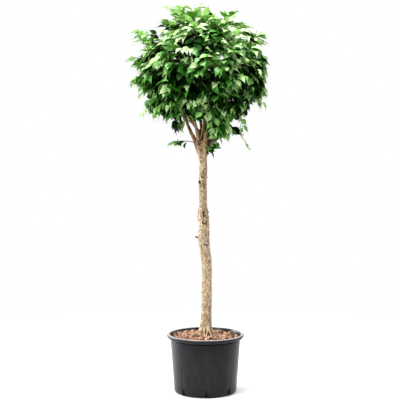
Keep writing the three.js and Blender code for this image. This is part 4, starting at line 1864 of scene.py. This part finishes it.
    # What leaves at the front may not hide, in millimetres. The fork: its left and right and its top. The
    # bough left of it: its lower and upper end, how far left it is at a height, that height, how far it
    # leans out for each millimetre up, and half its width.
    FORK_VIEW = (-80, -8, 1372)
    BOUGH_VIEW = (1340, 1436, 76, 1345, 0.37, 24)

    # The two low sprigs: side, azimuth, the height where each starts, how far from the fork and how high
    # its end is, the share of its twigs that is bare, and for each twig how far it turns aside in degrees
    # and the share of the reach it has.
    LOW_SPRIGS = (
        ("low_left", 201, 1284, 158, 1294, 0.55, ((0, 1.0), (14, 0.88), (-12, 0.8))),
        ("low_right", 325, 1250, 80, 1296, 0.1, ((0, 1.0), (20, 0.9), (-22, 0.66), (-8, 0.8))),
    )

    def __post_init__(self) -> None:
        """Works out what all the masses share."""
        self.furthest = self.dome.shoot_tips()[self.dome.shoots :]
        self.blades = [shape.arrays() for shape in self.shapes]
        self.bead_middles, self.bead_radii = self.limb_beads()

    def limb_beads(self) -> tuple[Points, np.ndarray]:
        """Spheres that fill the trunk's head and the boughs, for keeping leaves off them."""
        lines = [(np.linspace(FORK - 120 * MM * UP, FORK + 10 * MM * UP, 12), 31, 31)]
        for (_, *shape), mass in zip(BOUGHS, self.masses):
            lines.append((bough_line(bough_points(*shape), mass), 11, 6))
        lines.append((np.linspace(FORK, self.masses[-1].hub, 30), 11, 11))
        radii = [np.linspace(thick, thin, len(path)) * MM for path, thick, thin in lines]
        return np.vstack([path for path, _, _ in lines]), np.concatenate(radii)

    def within_outline(self, place: np.ndarray, stray: np.ndarray | None = None) -> bool:
        """Whether a place is inside the crown's girth, and out of its hollows and the view of the fork.

        Args:
            place: The place to test.
            stray: The tip of a stray shoot, which may bear leaves outside the girth.

        Returns:
            Whether leaves may reach there.
        """
        heights, radii = np.array(self.GIRTH).T * MM
        hollows = np.array(self.HOLLOWS) * MM
        in_hollow = np.linalg.norm(hollows[:, :3] - place, axis=1) < hollows[:, 3]
        top = self.top + (8 * MM if stray is not None else 0)
        if place[2] > top or np.any(in_hollow) or self.in_sky_gap(place):
            return False
        if stray is not None and np.linalg.norm(place - stray) < self.stray_room:
            return True
        away = math.hypot(place[0] - self.dome.heart[0], place[1] - self.dome.heart[1])
        return away < np.interp(place[2], heights, radii) and not self.hides_limbs(place)

    def hides_limbs(self, place: np.ndarray) -> bool:
        """Whether a leaf there would hide the fork, or the bough left of it, from the front."""
        left, right, top = (size * MM for size in self.FORK_VIEW)
        before_fork = left < place[0] < right and place[2] < top
        low, high, out, level, lean, half = self.BOUGH_VIEW
        beside_bough = abs(place[0] + out * MM + lean * (place[2] - level * MM)) < half * MM
        before_bough = beside_bough and low * MM < place[2] < high * MM
        return bool(place[1] < 0 and (before_fork or before_bough))

    def in_sky_gap(self, place: np.ndarray) -> bool:
        """Whether a place is in a gap that the sky shows through."""
        gaps = np.array(self.SKY_GAPS) * MM
        return bool(np.any(np.hypot(gaps[:, 0] - place[0], gaps[:, 1] - place[2]) < gaps[:, 2]))

    def clear_of_limbs(self, place: np.ndarray, room: float) -> bool:
        """Whether a place keeps so much room to every limb."""
        distances = np.linalg.norm(self.bead_middles - place, axis=1)
        return bool(np.all(distances > self.bead_radii + room))

    def shade_for(self, place: np.ndarray, draws: np.random.Generator) -> int:
        """Deals a spray its shade: darker inside and low, as painted shade, and paler at the top and the
        rim, as painted light.

        Args:
            place: The spray's middle.
            draws: Where the luck of the deal comes from.

        Returns:
            The number of the shade.
        """
        height = (place[2] - self.dome.heart[2]) / self.dome.rise
        depth = min(1.0, self.dome.depth_share(place))
        # The shade is painted light and shade: sprays deeper in and lower down are darker, and sprays higher
        # up and further out are paler.
        for_depth, for_height, for_sinking, luck = 0.6, 0.34, 0.14, 0.33
        lightness = for_depth * depth + for_height * max(0.0, height) + for_sinking * min(0.0, height)
        return int(np.digitize(lightness + draws.normal(0, luck), self.ages))

    def stance(
        self, growth: Growth, node: np.ndarray, forward: np.ndarray, side: int
    ) -> tuple[np.ndarray, np.ndarray]:
        """How a leaf hangs: forwards, outwards and down, and aside by turns.

        Args:
            growth: Where its unevenness comes from.
            node: Where it leaves its twig.
            forward: The way the twig runs there.
            side: 1 or -1 for the side that it turns to, and 0 for the last leaf.

        Returns:
            The way it points, and the way its upper side faces.
        """
        draws, habit = growth.draws, self.habit
        # Low on the plant, outwards is taken from lower down, so that leaves don't point at the ground.
        outward = unit(node - self.dome.heart * [1, 1, 0.8 if node[2] < 1330 * MM else 1])
        across = np.cross(forward, UP)
        aside = unit(across) if np.linalg.norm(across) > 0.05 else heading(draws.uniform(0, 360))
        turn = side * draws.uniform(*habit.aside) if side else draws.normal(0, habit.last_aside)
        # On top of the crown leaves droop less, and under it they hang less steeply.
        droop = draws.uniform(*habit.droop) * (1.05 - 0.6 * max(0.0, outward[2]))
        away = outward * np.array([1, 1, 0.45 if outward[2] < 0 else 1])
        scatter = draws.normal(0, habit.scatter, 3)
        along = unit(habit.forward * forward + turn * aside + habit.outward * away - droop * UP + scatter)
        face = outward + draws.uniform(*habit.skyward) * UP + draws.normal(0, habit.roll) * aside
        return along, unit(face - along * float(face @ along))

    def spray(
        self,
        growth: Growth,
        path: Points,
        bare: float,
        shade: int,
        size: float,
        stray: np.ndarray | None = None,
    ) -> None:
        """Sets leaves down a twig, first one side and then the other.

        Args:
            growth: What the leaves are added to.
            path: The twig's middle line.
            bare: The share of the twig before its first leaf.
            shade: The spray's shade.
            size: How large its leaves are, as a share.
            stray: The tip of the stray shoot it is on, which may stand out of the crown's outline.
        """
        draws, habit = growth.draws, self.habit
        look = 4 * MM  # How far ahead and behind a leaf the twig's direction is taken.
        lengths = np.concatenate([[0], np.cumsum(np.linalg.norm(np.diff(path, axis=0), axis=1))])
        total = lengths[-1]
        count = max(2, round((1 - bare) * total / habit.spacing))
        for i in range(count):
            last = i == count - 1
            share = bare + (1 - bare) * (i + 0.7 * draws.random()) / (count - 0.3)
            distance = min(share, 1.0) * total
            ahead = min(distance + look, total)
            behind = max(ahead - 2 * look, 0)
            node = along_line(path, lengths, distance)
            forward = unit(along_line(path, lengths, ahead) - along_line(path, lengths, behind))
            along, face = self.stance(growth, node, forward, 0 if last else (1 if i % 2 else -1))
            scale = size * draws.uniform(*habit.sizes) * (habit.last_size if last else 1.0)
            middle = node + along * habit.middle * scale
            tip = node + along * habit.tip * scale
            if not self.clear_of_limbs(middle, self.leaf_room):
                continue
            if not self.clear_of_limbs(node, self.foot_room) or self.in_sky_gap(middle):
                continue
            if self.within_outline(tip, stray):
                growth.add_leaf(node, along, face, scale, min(shade + int(last), len(LeafShade) - 1))

    def side_path(self, growth: Growth, node: np.ndarray, forward: np.ndarray) -> Points:
        """A side twig's line: it stands off its shoot and then hangs.

        Args:
            growth: Where its direction and length come from.
            node: Where it leaves the shoot.
            forward: The way the shoot runs there.

        Returns:
            One row for each step.
        """
        draws = growth.draws
        outward = unit(node - self.dome.heart)
        around = unit(np.cross(forward, draws.normal(0, 1, 3)))
        length = draws.uniform(*self.side_lengths) * MM
        # It may reach only just past the dome.
        room = (1.04 - self.dome.depth_share(node)) * self.dome.spread
        off = unit(0.55 * forward + 0.85 * around + 0.25 * outward + 0.1 * UP)
        if off @ outward > 0:
            length = min(length, max(room / max(float(off @ outward), 0.35), self.least_side))
        return weeping_path(node, node + off * length * 0.8 - UP * length * 0.45, 6)

    def side_twig(
        self,
        growth: Growth,
        node: np.ndarray,
        forward: np.ndarray,
        stray: np.ndarray | None = None,
        least: int = 0,
    ) -> None:
        """Grows one side twig with its leaves, if one fits in the crown's outline.

        Args:
            growth: What it is added to.
            node: Where it leaves its limb.
            forward: The way that limb runs there.
            stray: The tip of the stray shoot it is on, if it is on one.
            least: The darkest shade that its leaves may have.
        """
        for _ in range(self.tries):
            side = self.side_path(growth, node, forward)
            if self.within_outline(side[-1] - 30 * MM * UP, stray):
                break
        else:
            return
        growth.add_twig(side, np.linspace(1.5, 0.6, len(side)) * MM, green=True)
        self.spray(growth, side, 0.2, max(least, self.shade_for(side[-1], growth.draws)), 0.96, stray)

    def dress_shoot(self, growth: Growth, twig: Twig) -> None:
        """Carries one shoot on to its side twigs and leaves.

        Args:
            growth: What they are added to.
            twig: The shoot.
        """
        path = weeping_path(twig.start, twig.end, 12)
        stray = twig.end if any(np.allclose(twig.end, tip) for tip in self.furthest) else None
        low = stray is not None and twig.end[2] < self.lowest_stray
        # High stray shoots stand out in the light: their leaves are painted no darker than the middle shade,
        # as painted light.
        least = 2 if stray is not None and not low else 0
        growth.add_twig(path, np.linspace(2.6, 0.9, len(path)) * MM)
        shade = max(least, self.shade_for(twig.end, growth.draws))
        self.spray(growth, path, 0.42, shade, 0.72 if low else 1.0, stray)
        spread = stray if twig.end[2] > self.lowest_stray + 50 * MM else None
        for i in range(self.side_twigs):
            share = 0.12 + 0.8 * (i + 0.6 * growth.draws.random()) / self.side_twigs
            step, part = divmod(share * (len(path) - 1), 1)
            run = path[int(step) + 1] - path[int(step)]
            self.side_twig(growth, path[int(step)] + run * part, unit(run), spread, least)

    def hanging_sprays(self, growth: Growth, name: str) -> None:
        """Grows the sprays that hang out of one mass.

        Args:
            growth: What they are added to.
            name: The mass's name.
        """
        for mass, start, end, shade, bare, size in self.HANGING:
            if mass != name:
                continue
            path = weeping_path(np.array(start) * MM, np.array(end) * MM, 10)
            growth.add_twig(path, np.linspace(2.2, 0.8, len(path)) * MM)
            dealt = min(int(growth.draws.integers(shade, shade + 2)), len(LeafShade) - 1)
            self.spray(growth, path, bare, dealt, size, path[-1])
            for at in (2, 4, 6) if shade < 2 else ():
                self.side_twig(growth, path[at], unit(path[-1] - path[0]), path[-1])

    def grow_mass(self, mass: FoliageMass) -> None:
        """Grows one mass: its forking twigs, the side twigs on its stem and its hanging sprays."""
        growth = Growth(np.random.default_rng(self.seed + mass.seed), self.blades)
        for twig in mass.twigs():
            if twig.leafy:
                self.dress_shoot(growth, twig)
                continue
            radii = [twig.thick * 0.9, twig.thick * 0.85, twig.thin * 0.85]
            growth.add_twig(np.linspace(twig.start, twig.end, 3), radii)
            for _ in range(3):
                self.side_twig(growth, twig.end, unit(twig.end - twig.start))
        foot, count = mass.bough_tip, 8
        if mass.name == "leader":
            foot, count = FORK + (LEADER_TIP - FORK) * 0.5, 26
        for node in foot + (mass.hub - foot) * np.linspace(0.1, 1, count)[:, None]:
            self.side_twig(growth, node, unit(mass.hub - foot))
        self.hanging_sprays(growth, mass.name)
        growth.finish(mass.name, f"foliage_{mass.name}")

    def grow_sprig(
        self, name: str, start: np.ndarray, end: np.ndarray, bare: float, fan: Sequence[tuple[int, float]]
    ) -> None:
        """Grows a sprig that stands off from the trunk under the fork.

        Args:
            name: The sprig's side.
            start: Where it leaves the trunk.
            end: Where it ends.
            bare: The share of its twigs that is bare.
            fan: For each of its twigs, how far it turns aside in degrees and the share of the reach it has.
        """
        growth = Growth(np.random.default_rng(self.seed + len(name)), self.blades)
        reach = float(np.linalg.norm(end - start))
        for turn, share in fan:
            out = rotation(math.radians(turn), 0, 0) @ (end - start) * share
            path = weeping_path(start, start + out + 0.1 * (1 - share) * reach * UP, 10)
            growth.add_twig(path, np.linspace(2.0, 0.7, len(path)) * MM)
            self.spray(growth, path, bare, int(growth.draws.integers(1, 4)), 0.8, end)
        growth.finish(f"sprig_{name}", f"sprig_{name}")

    def build(self) -> None:
        """Grows the whole crown and the two low sprigs."""
        for mass in self.masses:
            self.grow_mass(mass)
        for name, azimuth, height, reach, tip_height, bare, fan in self.LOW_SPRIGS:
            start, end = from_fork(azimuth, 24, height), from_fork(azimuth, reach, tip_height)
            self.grow_sprig(name, start, end, bare, fan)


# --- Studio ---


@dataclass
class Studio:
    """The camera, the pale floor and the soft light.

    Attributes:
        height: The camera's height, in metres.
        distance: How far it stands in front of the plant.
        aside: How far it stands to the right of the pot's middle.
        tilt: How far it looks down, in degrees.
        drop: How far its lens is shifted down, in widths of the picture.
        focal: Its focal length, in widths of the picture.
        floor_radius: How far the pale floor reaches.
        wall_edges: Where the white wall begins and is brightest, as the Y part of a direction.
        room_light: How bright the room is in front, as a share of the wall.
    """

    height: float = 1.30
    distance: float = 5.236
    aside: float = -0.028
    tilt: float = 2.0
    drop: float = 0.06
    focal: float = 1015.7 / 400
    floor_radius: float = 2.6
    wall_edges: tuple[float, float] = (0.3, 0.93)
    room_light: float = 0.04

    # The soft lights: name, place and width in metres, and power in watts.
    PANELS = (
        ("overhead", (0.0, -0.2, 4.2), 2.6, 278),
        ("key_left", (-2.8, -2.6, 2.3), 1.4, 128),
        ("fill_right", (3.0, -2.2, 2.0), 1.4, 38),
        ("edge_left", (-3.2, 1.4, 1.1), 1.6, 150),
        ("edge_right", (3.4, 1.4, 1.2), 1.6, 38),
    )

    def camera(self) -> None:
        """Sets up the camera: nearly level, with its lens shifted down a little."""
        data = bpy.data.cameras.new("camera")
        data.sensor_width = 36
        data.lens = self.focal * data.sensor_width
        data.shift_y = -self.drop
        made = bpy.data.objects.new("camera", data)
        made.location = (self.aside, -self.distance, self.height)
        made.rotation_euler = (math.radians(90 - self.tilt), 0, 0)
        bpy.context.scene.collection.objects.link(made)
        bpy.context.scene.camera = made

    def floor(self) -> None:
        """Lays the pale floor."""
        bpy.ops.object.select_all(action="DESELECT")
        bpy.ops.mesh.primitive_circle_add(
            vertices=96, radius=self.floor_radius, fill_type="NGON", location=(0, 0, 0)
        )
        floor = bpy.context.object
        floor.name = "floor"
        floor.data.materials.append(Finish("pale_studio_floor", "#f8f8f8", 0.9).material())

    def panel(self, name: str, place: Sequence[float], size: float, power: float) -> None:
        """Hangs a soft light that looks at the plant's middle.

        Args:
            name: The light's name.
            place: Where it hangs.
            size: How wide it is.
            power: Its power, in watts.
        """
        data = bpy.data.lights.new(name, "AREA")
        data.shape = "SQUARE"
        data.size = size
        data.energy = power
        made = bpy.data.objects.new(name, data)
        made.location = place
        aim = Vector((0, 0, 1.1)) - Vector(place)
        made.rotation_euler = aim.to_track_quat("-Z", "Y").to_euler()
        bpy.context.scene.collection.objects.link(made)

    def light(self) -> None:
        """Sets up the soft lights, the white wall behind the plant and the dim room in front."""
        world = bpy.data.worlds.new("studio_surround")
        world.use_nodes = True
        tree = world.node_tree
        view = add_node(tree, "TexCoord").outputs["Generated"]
        direction = add_node(tree, "SeparateXYZ", {"Vector": view})
        start, end = self.wall_edges
        edges = {"From Min": start, "From Max": end, "To Min": self.room_light}
        wall = add_node(tree, "MapRange", {"Value": direction.outputs["Y"], **edges})
        background = tree.nodes["Background"]
        background.inputs["Color"].default_value = (1, 1, 1, 1)
        tree.links.new(wall.outputs[0], background.inputs["Strength"])
        bpy.context.scene.world = world
        for panel in self.PANELS:
            self.panel(*panel)
        bpy.context.scene.view_settings.view_transform = "Standard"

    def build(self) -> None:
        """Sets up the studio."""
        self.camera()
        self.floor()
        self.light()


def main() -> None:
    """Builds the studio and the plant, in order."""
    logging.basicConfig(level=logging.INFO, format="%(message)s")
    Studio().build()
    pot = GrowersPot()
    pot.build()
    ChipFill(pot).build()
    dome = Dome()
    masses = plan_masses(dome)
    Framework(masses).build()
    Crown(dome, masses).build()


if __name__ == "__main__":
    main()
